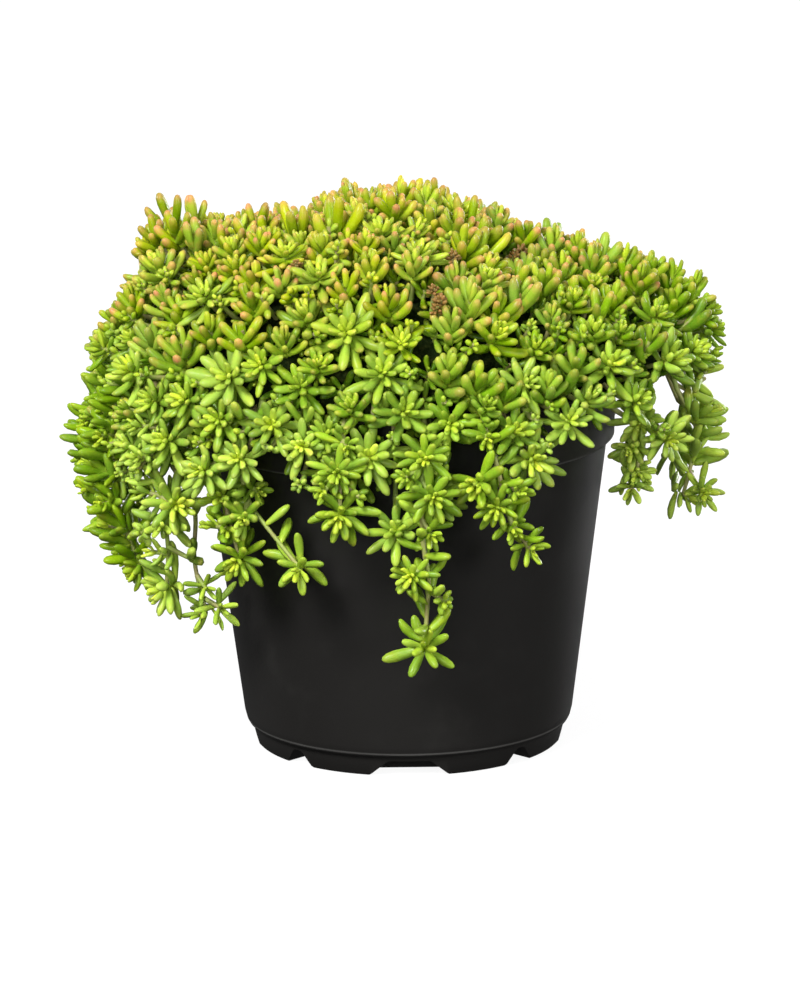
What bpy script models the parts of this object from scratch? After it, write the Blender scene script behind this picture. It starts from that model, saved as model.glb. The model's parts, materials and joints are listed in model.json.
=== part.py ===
"""A stonecrop in its round nursery pot.

The pot, the potting mix in it, the clumps of leafy shoots that heap up over the rim and the stems
that trail over it are separate solids. Metres, +Z up. The origin is on the pot's axis, in the
plane that its feet stand on, and the front is at -Y.
"""

import math
import random

import bmesh
import bpy
import numpy as np
from mathutils import Matrix, Vector

MM = 0.001
UP = Vector((0, 0, 1))

# The pot's outside, as radii and heights
FOOT_RADIUS = 60.7 * MM
STEP_RADIUS = 61.7 * MM
STEP_HEIGHT = 6.9 * MM
WALL_FOOT_RADIUS = 64.8 * MM
WALL_FOOT_HEIGHT = 12.6 * MM
WALL_TOP_RADIUS = 79.1 * MM
COLLAR_FOOT_HEIGHT = 122.4 * MM
COLLAR_FOOT_RADIUS = 81.8 * MM
COLLAR_RADIUS = 82.5 * MM
POT_HEIGHT = 148 * MM
WALL = 1.3 * MM
FLOOR_UNDERSIDE = 1.5 * MM
FLOOR_TOP = 3.0 * MM
FEET_INNER_RADIUS = 46 * MM
FEET_TOP = 9 * MM
POT_SIDES = 32
SOIL_SIDES = 16

# Notches between the feet: width at the ground and at the top, as seen from outside
NOTCH_HEIGHT = 6.3 * MM
WIDE_NOTCH = (31 * MM, 16.5 * MM)
NARROW_NOTCH = (14 * MM, 4 * MM)
NOTCH_COUNT = 8
DRAIN_RADIUS = 4 * MM
DRAIN_CIRCLE = 55 * MM

# Potting mix
SOIL_TOP = 138 * MM
SOIL_GAP = 0.35 * MM
ROOT_DEPTH = 12 * MM
HOLE_SPARE_DEPTH = 2 * MM

# The mound of shoots: a squared dome over the pot
MOUND_BASE = 112 * MM
MOUND_RISE = 106 * MM
MOUND_REACH = 119.5 * MM
MOUND_STRETCH = 11 * MM
MOUND_SQUARENESS = 3.4
# Its right-hand side lies lower, past a step between these two distances from the axis
RIGHT_STEP = (20 * MM, 52 * MM)
RIGHT_DROP = 12.5 * MM
# Swellings and hollows of its top: across, back, spread and height
MOUND_LUMPS = (
    (-96, 0, 20, 8),
    (-38, 8, 12, -4),
    (-8, 6, 20, 3),
    (34, -50, 16, -4),
    (-50, -60, 20, 4),
    (60, 60, 24, 4),
    (-20, 66, 22, 3),
)
# Height of the mound's lower edge above the ground: azimuth in degrees, height
MOUND_EDGE = (
    (-180, 120), (-150, 118), (-130, 133), (-112, 124), (-98, 122), (-80, 124), (-62, 136),
    (-42, 146), (-26, 130), (-8, 124), (25, 122), (60, 120), (90, 118), (125, 118), (155, 120),
    (180, 120),
)

# Clumps: the dense inner part of each, which its shoots stand out of
CORE_DEPTH = 19 * MM
CORE_FOOT = 153 * MM
CORE_STEPS = 5
CORE_SPANS = 2
CORE_BUD = 5.5 * MM
CLUMP_GAP = 1 * MM
CROWN_RADIUS = 22 * MM
INNER_RADIUS = 54 * MM
INNER_CLUMPS = 7
OUTER_CLUMPS = 14
STOCK_RADIUS = 4 * MM
STOCK_GAP = 0.45 * MM
INNER_STOCK_CIRCLE = 38 * MM
OUTER_STOCK_CIRCLE = 61 * MM

# Shoots
ROSETTE_DEPTH = 10.5 * MM
ROSETTE_SPACING = 20.5 * MM
ROSETTE_SIZES = (0.8, 0.9, 1.0, 1.08)
BUD_RADIUS = 2.9 * MM
SHOOT_RADIUS = 1.7 * MM
SHOOT_ROOT = 5 * MM
LEAF_LENGTH = 17 * MM
LEAF_GIRTH = 3.4 * MM
YOUNG_LEAF = 0.72
YOUNG_GIRTH = 1.3 * MM
BELLY_AT = 0.68
OUTER_LIFT = (8, 20)
YOUNG_LIFT = (38, 56)
OUTER_SPREAD = (0.88, 1.12)
YOUNG_SPREAD = (0.8, 1.1)
# A leaf that lacks room for its full length is tried at these shares of it
LEAF_TRIMS = (1, 0.85, 0.7)
LEAF_CLEARANCE = 0.4 * MM
POT_CLEARANCE = 0.6 * MM
SHOOT_TAPER = 0.55
SIDE_MARGIN = 4 * MM
PHOTOTROPISM = 0.35
FEWEST_LEAVES = 3

# Trailing stems
TRAIL_RADIUS = 1.3 * MM
TRAIL_ROOT_CIRCLE = 71.5 * MM
TRAIL_STEP = 9 * MM
TRAIL_HOLE_GAP = 0.6 * MM
TRAIL_ROSETTE_SPACING = 24 * MM
TRAIL_ROSETTE_TOP = 140 * MM
TRAIL_DISTANCE = 15 * MM
TRAIL_ROSETTE_STANDOFF = 6.5 * MM
TRAIL_ROSETTE_SIZES = (0.8, 0.98)
TRAIL_SIDE_LEAN = 0.55
TRAIL_DROOP = 0.1
TIP_LEAN = 0.9
# How far a tip's rosette stands past the stem's end, and how far back its shoot is rooted
TIP_REACH = 2.5 * MM
TIP_ROOT = 4 * MM
COLLAR_CLEARANCE = 5 * MM
RIM_CROSSING_HEIGHT = 150.6 * MM
# Each route in millimetres, from where the stem crosses the rim to its tip
TRAILS = {
    "trail_front_long": ((8, -84, 150.6), (9, -98, 143), (8, -102, 126), (8, -101, 112),
                         (10.5, -98, 95), (10.5, -93, 78), (9.5, -89, 61)),
    "trail_front_right": ((26, -80, 150.6), (30, -93, 146), (35, -97, 130), (38, -96, 114),
                          (46, -91, 99)),
    "trail_front_short": ((-22, -81, 150.6), (-24, -95, 144), (-25, -101, 128), (-25, -100, 115)),
    "trail_left_front": ((-52, -66, 150.6), (-60, -73, 146), (-63, -75, 130), (-62, -74, 114),
                         (-56, -78, 105), (-46, -84, 94)),
    "trail_left_cluster": ((-63, -56, 150.6), (-72, -62, 145), (-72, -67, 126), (-68, -70, 107),
                           (-64, -72, 91)),
    "trail_left_star": ((-72, -43, 150.6), (-89, -52, 147), (-97, -57, 131), (-94, -57, 110),
                        (-94, -55, 92), (-98, -50, 75)),
    "trail_left_thin": ((-77, -33, 150.6), (-93, -40, 148.5), (-98, -44, 128), (-88, -45, 100),
                        (-80, -48, 76), (-72, -51, 61)),
    "trail_curtain_front": ((-80, -24, 150.6), (-99, -29, 149.5), (-109, -32, 139),
                            (-111, -33, 120), (-108, -32, 100), (-102, -30, 80)),
    "trail_curtain_middle": ((-84, -4, 150.6), (-104, -6, 149.5), (-113, -8, 140),
                             (-115, -8, 122), (-114, -6, 104), (-111, -4, 92)),
    "trail_curtain_rear": ((-82, 18, 150.6), (-102, 23, 149.5), (-109, 26, 138),
                           (-111, 27, 120), (-108, 27, 102), (-103, 26, 88)),
    "trail_back_left": ((-66, 52, 150.6), (-82, 65, 149), (-91, 73, 138), (-92, 74, 118),
                        (-87, 71, 98)),
    "trail_back_long": ((-45, 71, 150.6), (-52, 84, 146), (-55, 90, 128), (-54, 89, 108),
                        (-51, 85, 90)),
    "trail_back": ((-8, 84, 150.6), (-9, 98, 145), (-10, 102, 127), (-10, 100, 110),
                   (-8, 96, 95)),
    "trail_back_right": ((38, 75, 150.6), (44, 88, 146), (47, 94, 130), (46, 93, 112)),
    "trail_right_rear": ((77, 32, 150.6), (96, 40, 149.5), (107, 45, 138), (108, 46, 120),
                         (104, 43, 103)),
    "trail_right_far": ((83, -8, 150.6), (104, -11, 149.5), (112, -13, 141), (113, -15, 128),
                        (110, -17, 112), (107, -18, 103)),
    "trail_right_near": ((75, -37, 150.6), (89, -44, 148.5), (95, -47, 139), (96, -46, 127),
                         (94, -43, 113)),
}

SEED = 20
CANDIDATES = 5000
# Rods are told apart by owner: stems from 1, their rosettes in hundreds, the mound's from here
FIRST_SHOOT = 10000


def clear_scene():
    """Start from an empty scene."""
    for item in list(bpy.data.objects):
        bpy.data.objects.remove(item, do_unlink=True)


def make_material(name, colour, roughness):
    """A plain dielectric finish."""
    material = bpy.data.materials.new(name)
    material.use_nodes = True
    shader = material.node_tree.nodes["Principled BSDF"]
    shader.inputs["Base Color"].default_value = (*colour, 1)
    shader.inputs["Roughness"].default_value = roughness
    shader.inputs["Metallic"].default_value = 0
    return material


def make_object(name, bm, material=None):
    """Turn a bmesh into a named object with its faces pointing out."""
    bmesh.ops.recalc_face_normals(bm, faces=bm.faces)
    mesh = bpy.data.meshes.new(name)
    bm.to_mesh(mesh)
    bm.free()
    item = bpy.data.objects.new(name, mesh)
    bpy.context.collection.objects.link(item)
    if material:
        mesh.materials.append(material)
    return item


def apply_boolean(item, others, operation):
    """Join the other objects to this one, or cut them out of it, and remove them."""
    group = bpy.data.collections.new(item.name + "_parts")
    bpy.context.scene.collection.children.link(group)
    for other in others:
        bpy.context.collection.objects.unlink(other)
        group.objects.link(other)
    modifier = item.modifiers.new("Boolean", "BOOLEAN")
    modifier.operation = operation
    modifier.operand_type = "COLLECTION"
    modifier.collection = group
    modifier.solver = "EXACT"
    evaluated = item.evaluated_get(bpy.context.evaluated_depsgraph_get())
    joined = bpy.data.meshes.new_from_object(evaluated)
    item.modifiers.clear()
    item.data = joined
    for other in list(group.objects):
        bpy.data.objects.remove(other, do_unlink=True)
    bpy.data.collections.remove(group)


def shade_round(item, angle=40):
    """Smooth shading, kept crisp at real edges."""
    item.data.shade_smooth()
    item.data.set_sharp_from_angle(angle=math.radians(angle))


def turned(name, profile, sides, material=None):
    """Turn a closed outline of (radius, height) points about the pot's axis."""
    bm = bmesh.new()
    verts = [bm.verts.new((radius, 0, height)) for radius, height in profile]
    edges = [bm.edges.new((a, b)) for a, b in zip(verts, verts[1:] + verts[:1])
             if a.co.x > 0 or b.co.x > 0]
    bmesh.ops.spin(bm, geom=verts + edges, axis=UP, cent=(0, 0, 0), angle=math.tau,
                   steps=sides, use_merge=True)
    bmesh.ops.remove_doubles(bm, verts=bm.verts, dist=0.00001)
    return make_object(name, bm, material)


def upright_peg(name, centre, radius, low, high, sides=6):
    """An upright prism between two heights."""
    bm = bmesh.new()
    place = Matrix.Translation((centre[0], centre[1], (low + high) / 2))
    bmesh.ops.create_cone(bm, cap_ends=True, segments=sides, radius1=radius, radius2=radius,
                          depth=high - low, matrix=place)
    return make_object(name, bm)


def notch_cutter(name, widths, azimuth):
    """A wedge that cuts one notch between two feet."""
    low_width, high_width = widths
    below = 1 * MM
    slope = (low_width - high_width) / 2 / NOTCH_HEIGHT
    outline = (
        (-low_width / 2 - slope * below, -below), (low_width / 2 + slope * below, -below),
        (high_width / 2, NOTCH_HEIGHT), (-high_width / 2, NOTCH_HEIGHT),
    )
    start = FEET_INNER_RADIUS + 2 * MM
    bm = bmesh.new()
    face = bm.faces.new([bm.verts.new((start, across, up)) for across, up in outline])
    grown = bmesh.ops.extrude_face_region(bm, geom=[face])
    moved = [v for v in grown["geom"] if isinstance(v, bmesh.types.BMVert)]
    bmesh.ops.translate(bm, verts=moved, vec=(COLLAR_RADIUS - start, 0, 0))
    bmesh.ops.rotate(bm, verts=bm.verts, cent=(0, 0, 0), matrix=Matrix.Rotation(azimuth, 3, "Z"))
    return make_object(name, bm)


def build_pot(material):
    """The thin-walled pot with its collar, its stepped foot, notches and drain holes."""
    inner_foot = WALL_FOOT_RADIUS - WALL
    inner_top = WALL_TOP_RADIUS - WALL
    profile = (
        (0, FLOOR_UNDERSIDE), (FEET_INNER_RADIUS - 1.5 * MM, FLOOR_UNDERSIDE),
        (FEET_INNER_RADIUS, 0), (FOOT_RADIUS, 0), (STEP_RADIUS, STEP_HEIGHT),
        (STEP_RADIUS + 2.2 * MM, STEP_HEIGHT + 1.6 * MM), (WALL_FOOT_RADIUS, WALL_FOOT_HEIGHT),
        (WALL_TOP_RADIUS, COLLAR_FOOT_HEIGHT), (COLLAR_FOOT_RADIUS, COLLAR_FOOT_HEIGHT),
        (COLLAR_RADIUS, POT_HEIGHT), (COLLAR_RADIUS - WALL, POT_HEIGHT),
        (COLLAR_FOOT_RADIUS - WALL, COLLAR_FOOT_HEIGHT + 2 * MM),
        (inner_top, COLLAR_FOOT_HEIGHT - 1 * MM), (inner_foot, WALL_FOOT_HEIGHT),
        (inner_foot - 1.4 * MM, FEET_TOP), (FEET_INNER_RADIUS + 3 * MM, FEET_TOP),
        (FEET_INNER_RADIUS + 0.5 * MM, FLOOR_TOP), (0, FLOOR_TOP),
    )
    pot = turned("pot", profile, POT_SIDES, material)
    cutters = []
    for index in range(NOTCH_COUNT):
        azimuth = math.tau * index / NOTCH_COUNT
        widths = NARROW_NOTCH if index % 2 else WIDE_NOTCH
        cutters.append(notch_cutter(f"notch_{index}", widths, azimuth))
        centre = (DRAIN_CIRCLE * math.cos(azimuth), DRAIN_CIRCLE * math.sin(azimuth))
        if index % 2 == 0:
            cutters.append(upright_peg(f"drain_{index}", centre, DRAIN_RADIUS, NOTCH_HEIGHT / 2,
                                       FEET_TOP + 2 * MM))
    apply_boolean(pot, cutters, "DIFFERENCE")
    shade_round(pot)
    return pot


def build_soil(material, roots):
    """The potting mix, with a plain hole for each stock and stem.

    roots holds each one's place, radius and gap.
    """
    gap = SOIL_GAP
    inner_foot = WALL_FOOT_RADIUS - WALL - gap
    inner_top = WALL_TOP_RADIUS - WALL - gap
    collar_inside = COLLAR_FOOT_RADIUS - WALL - gap
    profile = (
        (0, FLOOR_TOP + gap), (FEET_INNER_RADIUS + 0.1 * MM, FLOOR_TOP + gap),
        (FEET_INNER_RADIUS + 2.6 * MM, FEET_TOP + gap), (inner_foot - 1.4 * MM, FEET_TOP + gap),
        (inner_foot, WALL_FOOT_HEIGHT), (inner_top, COLLAR_FOOT_HEIGHT - 1 * MM),
        (collar_inside, COLLAR_FOOT_HEIGHT + 2.3 * MM), (collar_inside, SOIL_TOP), (0, SOIL_TOP),
    )
    soil = turned("soil", profile, SOIL_SIDES, material)
    low = SOIL_TOP - ROOT_DEPTH - HOLE_SPARE_DEPTH
    holes = [upright_peg(f"hole_{index}", place, radius + hole_gap, low, SOIL_TOP + 1 * MM)
             for index, (place, radius, hole_gap) in enumerate(roots)]
    apply_boolean(soil, holes, "DIFFERENCE")
    return soil


def mound_reach(azimuth):
    """How far the leaf tips stand from the axis at the mound's widest."""
    return MOUND_REACH + MOUND_STRETCH * math.cos(2 * azimuth)


def lump_height(x, y):
    """How much the mound's step, swellings and hollows lift it at a place."""
    start, end = RIGHT_STEP
    share = min(max((x - start) / (end - start), 0), 1)
    total = -RIGHT_DROP * share * share * (3 - 2 * share)
    for across, back, spread, height in MOUND_LUMPS:
        distance = ((x / MM - across) ** 2 + (y / MM - back) ** 2) / (2 * spread ** 2)
        total += height * MM * math.exp(-distance)
    return total


def mound_point(azimuth, climb, depth=0):
    """A point of the leaf tips' surface, or so far under it.

    climb runs from 0 at the mound's base to a right angle at its top.
    """
    power = 2 / MOUND_SQUARENESS
    radius = (mound_reach(azimuth) - depth) * max(math.cos(climb), 0) ** power
    x = radius * math.cos(azimuth)
    y = radius * math.sin(azimuth)
    rise = MOUND_RISE - depth + lump_height(x, y)
    return Vector((x, y, MOUND_BASE + rise * max(math.sin(climb), 0) ** power))


def mound_normal(azimuth, climb):
    """The mound's outward direction."""
    step = 0.02
    climb = min(max(climb, 2 * step), math.pi / 2 - 2 * step)
    along = mound_point(azimuth + step, climb) - mound_point(azimuth - step, climb)
    up = mound_point(azimuth, climb + step) - mound_point(azimuth, climb - step)
    return along.cross(up).normalized()


def mound_edge(azimuth):
    """The height of the mound's lower edge at an azimuth."""
    turn = math.degrees(azimuth)
    turn = (turn + 180) % 360 - 180
    return float(np.interp(turn, *zip(*MOUND_EDGE))) * MM


def climb_at_height(azimuth, height, depth):
    """The climb at which the mound's surface stands at a height."""
    low, high = 0.0, math.pi / 2
    for _ in range(30):
        middle = (low + high) / 2
        if mound_point(azimuth, middle, depth).z < height:
            low = middle
        else:
            high = middle
    return low


def climb_at_radius(azimuth, radius, depth):
    """The climb at which the mound's surface comes in to a radius."""
    share = min(radius / (mound_reach(azimuth) - depth), 1)
    return math.acos(share ** (MOUND_SQUARENESS / 2))


def pot_radius(height):
    """The pot's outside at a height, or nothing above its rim."""
    if height > POT_HEIGHT:
        return 0
    if height > COLLAR_FOOT_HEIGHT:
        return COLLAR_RADIUS
    share = (height - WALL_FOOT_HEIGHT) / (COLLAR_FOOT_HEIGHT - WALL_FOOT_HEIGHT)
    return WALL_FOOT_RADIUS + share * (WALL_TOP_RADIUS - WALL_FOOT_RADIUS)


def in_mound_core(point):
    """Whether a point lies inside the clumps' dense inner part."""
    if point.z < CORE_FOOT - 1 * MM:
        return False
    flat = math.hypot(point.x, point.y)
    azimuth = math.atan2(point.y, point.x)
    share = flat / (mound_reach(azimuth) - CORE_DEPTH)
    if share >= 1:
        return False
    top = mound_point(azimuth, math.acos(share ** (MOUND_SQUARENESS / 2)), CORE_DEPTH)
    return point.z < top.z + 0.5 * MM


class Room:
    """The stems and leaves placed so far, as round-ended rods, to keep the next ones clear."""

    def __init__(self, capacity=6000):
        self.starts = np.zeros((capacity, 3))
        self.ends = np.zeros((capacity, 3))
        self.radii = np.zeros(capacity)
        self.owners = np.zeros(capacity, dtype=int)
        self.count = 0

    def add(self, start, end, radius, owner):
        """Take the room of one rod."""
        self.starts[self.count] = start
        self.ends[self.count] = end
        self.radii[self.count] = radius
        self.owners[self.count] = owner
        self.count += 1

    def distances(self, start, end):
        """The distance from a rod's axis to each placed rod's axis."""
        starts = self.starts[:self.count]
        u = np.array(end) - np.array(start)
        v = self.ends[:self.count] - starts
        w = np.array(start) - starts
        a = max(u @ u, 1e-12)
        b = v @ u
        c = np.maximum((v * v).sum(1), 1e-12)
        d = w @ u
        e = (v * w).sum(1)
        slack = np.maximum(a * c - b * b, 1e-18)
        s = np.clip((b * e - c * d) / slack, 0, 1)
        t = np.clip((b * s + e) / c, 0, 1)
        s = np.clip((b * t - d) / a, 0, 1)
        return np.linalg.norm(w + s[:, None] * u - t[:, None] * v, axis=1)

    def is_clear(self, start, end, radius, owners):
        """Whether a rod keeps clear of all others but those of the given owners."""
        if not self.count:
            return True
        reach = self.radii[:self.count] + radius + LEAF_CLEARANCE
        near = self.distances(start, end) < reach
        return not np.any(near & ~np.isin(self.owners[:self.count], owners))


def clear_of_pot(start, end, radius):
    """Whether a rod stays outside the pot."""
    for share in (0, 0.5, 1):
        point = start.lerp(end, share)
        outside = pot_radius(point.z - radius) + radius + POT_CLEARANCE
        if math.hypot(point.x, point.y) < outside:
            return False
    return True


def turn_towards(axis, spin):
    """The rotation that stands local +Z along an axis, after a turn about it."""
    return axis.to_track_quat("Z", "Y").to_matrix() @ Matrix.Rotation(spin, 3, "Z")


def grow_leaf(bm, face, direction, length, girth, plump):
    """Draw a face of the bud out into a leaf, swollen before its blunt tip if it is plump."""
    if plump:
        face = bmesh.ops.extrude_discrete_faces(bm, faces=[face])["faces"][0]
        centre = face.calc_center_median()
        for vert in face.verts:
            spread = vert.co - centre
            spread -= direction * spread.dot(direction)
            vert.co = direction * length * BELLY_AT + spread.normalized() * girth
    tip = bmesh.ops.poke(bm, faces=[face])["verts"][0]
    tip.co = direction * length


def grow_shoot(bm, anchor):
    """Draw the underside of the bud out into the shoot, down to its anchor."""
    bottom = min(bm.verts, key=lambda vert: vert.co.z)
    bmesh.ops.delete(bm, geom=[bottom], context="VERTS")
    rim = [edge for edge in bm.edges if edge.is_boundary]
    drawn = bmesh.ops.extrude_edge_only(bm, edges=rim)["geom"]
    ring = [item for item in drawn if isinstance(item, bmesh.types.BMVert)]
    centre = sum((vert.co for vert in ring), Vector()) / len(ring)
    direction = (anchor - centre).normalized()
    for vert in ring:
        spread = vert.co - centre
        spread -= direction * spread.dot(direction)
        vert.co = anchor + spread.normalized() * SHOOT_RADIUS * SHOOT_TAPER
    bmesh.ops.holes_fill(bm, edges=[item for item in drawn if isinstance(item, bmesh.types.BMEdge)])


def plan_leaves(bm, rng, size):
    """The bud's faces that grow leaves, each with its direction, length and girth."""
    faces = list(bm.faces)
    outer = [face for face in faces if -0.4 < face.normal.z < 0]
    young = [face for face in faces if 0 < face.normal.z < 0.4]
    plans = []
    for face in outer:
        lift = math.radians(rng.uniform(*OUTER_LIFT))
        length = LEAF_LENGTH * size * rng.uniform(*OUTER_SPREAD)
        plans.append((face, lift, length, LEAF_GIRTH * size, True))
    for face in young:
        lift = math.radians(rng.uniform(*YOUNG_LIFT))
        length = LEAF_LENGTH * YOUNG_LEAF * size * rng.uniform(*YOUNG_SPREAD)
        plans.append((face, lift, length, YOUNG_GIRTH * size, False))
    leaves = []
    for face, lift, length, girth, plump in plans:
        out = Vector((face.normal.x, face.normal.y, 0)).normalized()
        direction = out * math.cos(lift) + UP * math.sin(lift)
        leaves.append((face, direction, length, girth, plump))
    return leaves


def grow_rosette(name, centre, axis, anchor, size, rng, room, owner, kin):
    """A rosette of plump leaves on a short shoot, or nothing where it has no room.

    kin are the owners whose rods it may touch, such as its own stem.
    """
    turn = turn_towards(axis, rng.uniform(0, math.tau))
    back = turn.inverted()
    family = [owner, *kin]
    if not room.is_clear(anchor, centre, SHOOT_RADIUS, family):
        return None
    bm = bmesh.new()
    bmesh.ops.create_icosphere(bm, subdivisions=1, radius=BUD_RADIUS * size)
    bm.normal_update()
    grown = []
    for face, direction, length, girth, plump in plan_leaves(bm, rng, size):
        ahead = turn @ direction
        for share in LEAF_TRIMS:
            start = centre + ahead * BUD_RADIUS * size
            end = centre + ahead * (length * share - girth * 0.5)
            if in_mound_core(end) or not clear_of_pot(start, end, girth):
                continue
            if room.is_clear(start, end, girth, family):
                grown.append((face, direction, length * share, girth, plump))
                break
    if sum(plump for *_, plump in grown) < FEWEST_LEAVES:
        bm.free()
        return None
    for face, direction, length, girth, plump in grown:
        ahead = turn @ direction
        room.add(centre + ahead * BUD_RADIUS * size, centre + ahead * (length - girth * 0.5),
                 girth, owner)
        grow_leaf(bm, face, direction, length, girth, plump)
    room.add(anchor, centre, SHOOT_RADIUS, owner)
    grow_shoot(bm, back @ (anchor - centre))
    bmesh.ops.rotate(bm, verts=bm.verts, cent=(0, 0, 0), matrix=turn)
    bmesh.ops.translate(bm, verts=bm.verts, vec=centre)
    return make_object(name, bm)


def clump_zones():
    """Every clump's name, radii, azimuths and the circle that its stock stands on."""
    zones = [("clump_crown", 0, CROWN_RADIUS, -math.pi, math.pi, 0)]
    for index in range(INNER_CLUMPS):
        start = -math.pi + math.tau * index / INNER_CLUMPS
        zones.append((f"clump_inner_{index + 1}", CROWN_RADIUS, INNER_RADIUS, start,
                      start + math.tau / INNER_CLUMPS, INNER_STOCK_CIRCLE))
    for index in range(OUTER_CLUMPS):
        start = -math.pi + math.tau * index / OUTER_CLUMPS
        zones.append((f"clump_outer_{index + 1:02d}", INNER_RADIUS, None, start,
                      start + math.tau / OUTER_CLUMPS, OUTER_STOCK_CIRCLE))
    return zones


def zone_of(point, zones):
    """The index of the clump that a point of the mound belongs to."""
    flat = math.hypot(point.x, point.y)
    azimuth = math.atan2(point.y, point.x)
    for index, (_, inner, outer, start, end, _) in enumerate(zones):
        if inner <= flat < (outer or math.inf) and start <= azimuth < end:
            return index
    return len(zones) - 1


def core_outline(zone, azimuth):
    """A clump core's section at an azimuth, as points from its foot over its top."""
    _, inner, outer, _, _, _ = zone
    low_radius = inner + CLUMP_GAP / 2
    start = climb_at_height(azimuth, CORE_FOOT, CORE_DEPTH)
    if outer:
        start = climb_at_radius(azimuth, outer - CLUMP_GAP / 2, CORE_DEPTH)
    end = climb_at_radius(azimuth, low_radius, CORE_DEPTH)
    count = CORE_STEPS if not outer else 2
    points = [mound_point(azimuth, start + (end - start) * step / count, CORE_DEPTH)
              for step in range(count + 1)]
    foot_out = Vector((points[0].x, points[0].y, CORE_FOOT))
    foot_in = Vector((low_radius * math.cos(azimuth), low_radius * math.sin(azimuth), CORE_FOOT))
    outline = [foot_in] + ([foot_out] if outer else []) + points
    return outline


def build_core(zone, material):
    """The dense inner part of a clump: a wedge of the mound, or its round middle."""
    name, inner, outer, start, end, _ = zone
    bm = bmesh.new()
    if inner == 0:
        radius = outer - CLUMP_GAP / 2
        top = mound_point(0, climb_at_radius(0, radius, CORE_DEPTH), CORE_DEPTH).z
        bmesh.ops.create_cone(bm, cap_ends=True, cap_tris=True, segments=10, radius1=radius,
                              radius2=radius, depth=top - CORE_FOOT,
                              matrix=Matrix.Translation((0, 0, (top + CORE_FOOT) / 2)))
        bud_core(bm, math.inf)
        return make_object(name, bm, material)
    trim = CLUMP_GAP / 2 / max(inner, CROWN_RADIUS)
    sections = []
    for span in range(CORE_SPANS + 1):
        azimuth = start + trim + (end - start - 2 * trim) * span / CORE_SPANS
        sections.append([bm.verts.new(point) for point in core_outline(zone, azimuth)])
    for left, right in zip(sections, sections[1:]):
        for step in range(len(left)):
            after = (step + 1) % len(left)
            bm.faces.new((left[step], left[after], right[after], right[step]))
    bm.faces.new(sections[0])
    bm.faces.new(sections[-1][::-1])
    bmesh.ops.recalc_face_normals(bm, faces=bm.faces)
    bud_core(bm, (outer or math.inf) - SIDE_MARGIN)
    bmesh.ops.triangulate(bm, faces=bm.faces)
    return make_object(name, bm, material)


def bud_core(bm, side_radius):
    """Raise a bud on each face of the core that looks outwards, but not on its sides."""
    heart = Vector((0, 0, MOUND_BASE))
    for face in list(bm.faces):
        centre = face.calc_center_median()
        ahead = (centre - heart).normalized()
        if face.normal.dot(ahead) > 0.5 and math.hypot(centre.x, centre.y) < side_radius:
            normal = face.normal.copy()
            tip = bmesh.ops.poke(bm, faces=[face])["verts"][0]
            tip.co = centre + normal * CORE_BUD


def stock_place(zone):
    """Where a clump's stock stands in the potting mix."""
    _, _, _, start, end, circle = zone
    azimuth = (start + end) / 2
    return circle * math.cos(azimuth), circle * math.sin(azimuth)


def shoot_anchor(zone, azimuth, climb):
    """Where a shoot leaves its clump's core, sunk well in and clear of the clump's sides."""
    _, inner, outer, start, end, _ = zone
    deep = CORE_DEPTH + SHOOT_ROOT
    low = climb_at_height(azimuth, CORE_FOOT + 6 * MM, deep)
    climb = max(climb, low)
    point = mound_point(azimuth, climb, deep)
    flat = math.hypot(point.x, point.y)
    least = inner + SIDE_MARGIN if inner else 0
    flat = min(max(flat, least), (outer or math.inf) - SIDE_MARGIN)
    if inner:
        margin = SIDE_MARGIN / max(flat, SIDE_MARGIN)
        azimuth = min(max(azimuth, start + margin), end - margin)
    return Vector((flat * math.cos(azimuth), flat * math.sin(azimuth), point.z))


def grow_mound(rng, room, trail_centres, zones):
    """The mound's rosettes, spread evenly over it, as a list for each clump."""
    shoots = [[] for _ in zones]
    centres = []
    for number in range(CANDIDATES):
        azimuth = rng.uniform(-math.pi, math.pi)
        slope = math.tan(math.asin(rng.uniform(0, 0.9999)))
        climb = math.atan((slope * mound_reach(azimuth) / MOUND_RISE) ** (MOUND_SQUARENESS / 2))
        point = mound_point(azimuth, climb, ROSETTE_DEPTH)
        nearest = min(((point - other).length for other in centres), default=1)
        nearest_trail = min((point - other).length for other in trail_centres)
        if (point.z < mound_edge(azimuth) or nearest < ROSETTE_SPACING
                or nearest_trail < TRAIL_DISTANCE):
            continue
        index = zone_of(point, zones)
        axis = (mound_normal(azimuth, climb) + UP * PHOTOTROPISM).normalized()
        anchor = shoot_anchor(zones[index], azimuth, climb)
        size = rng.choice(ROSETTE_SIZES)
        shoot = grow_rosette(f"shoot_{number}", point, axis, anchor, size, rng, room,
                             FIRST_SHOOT + number, [])
        if shoot:
            shoots[index].append(shoot)
            centres.append(point)
    return shoots


def smooth_route(points, step):
    """Points at even steps along a smooth curve through the route's own points."""
    ends = [points[0] * 2 - points[1], *points, points[-1] * 2 - points[-2]]
    fine = []
    for a, b, c, d in zip(ends, ends[1:], ends[2:], ends[3:]):
        for count in range(12):
            t = count / 12
            fine.append(0.5 * ((2 * b) + (c - a) * t + (2 * a - 5 * b + 4 * c - d) * t * t
                               + (3 * b - a - 3 * c + d) * t ** 3))
    fine.append(points[-1])
    lengths = np.cumsum([0] + [(b - a).length for a, b in zip(fine, fine[1:])])
    count = max(int(round(lengths[-1] / step)), 2)
    spots = np.linspace(0, lengths[-1], count + 1)
    columns = [np.interp(spots, lengths, [point[axis] for point in fine]) for axis in range(3)]
    return [Vector(values) for values in zip(*columns)]


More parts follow.
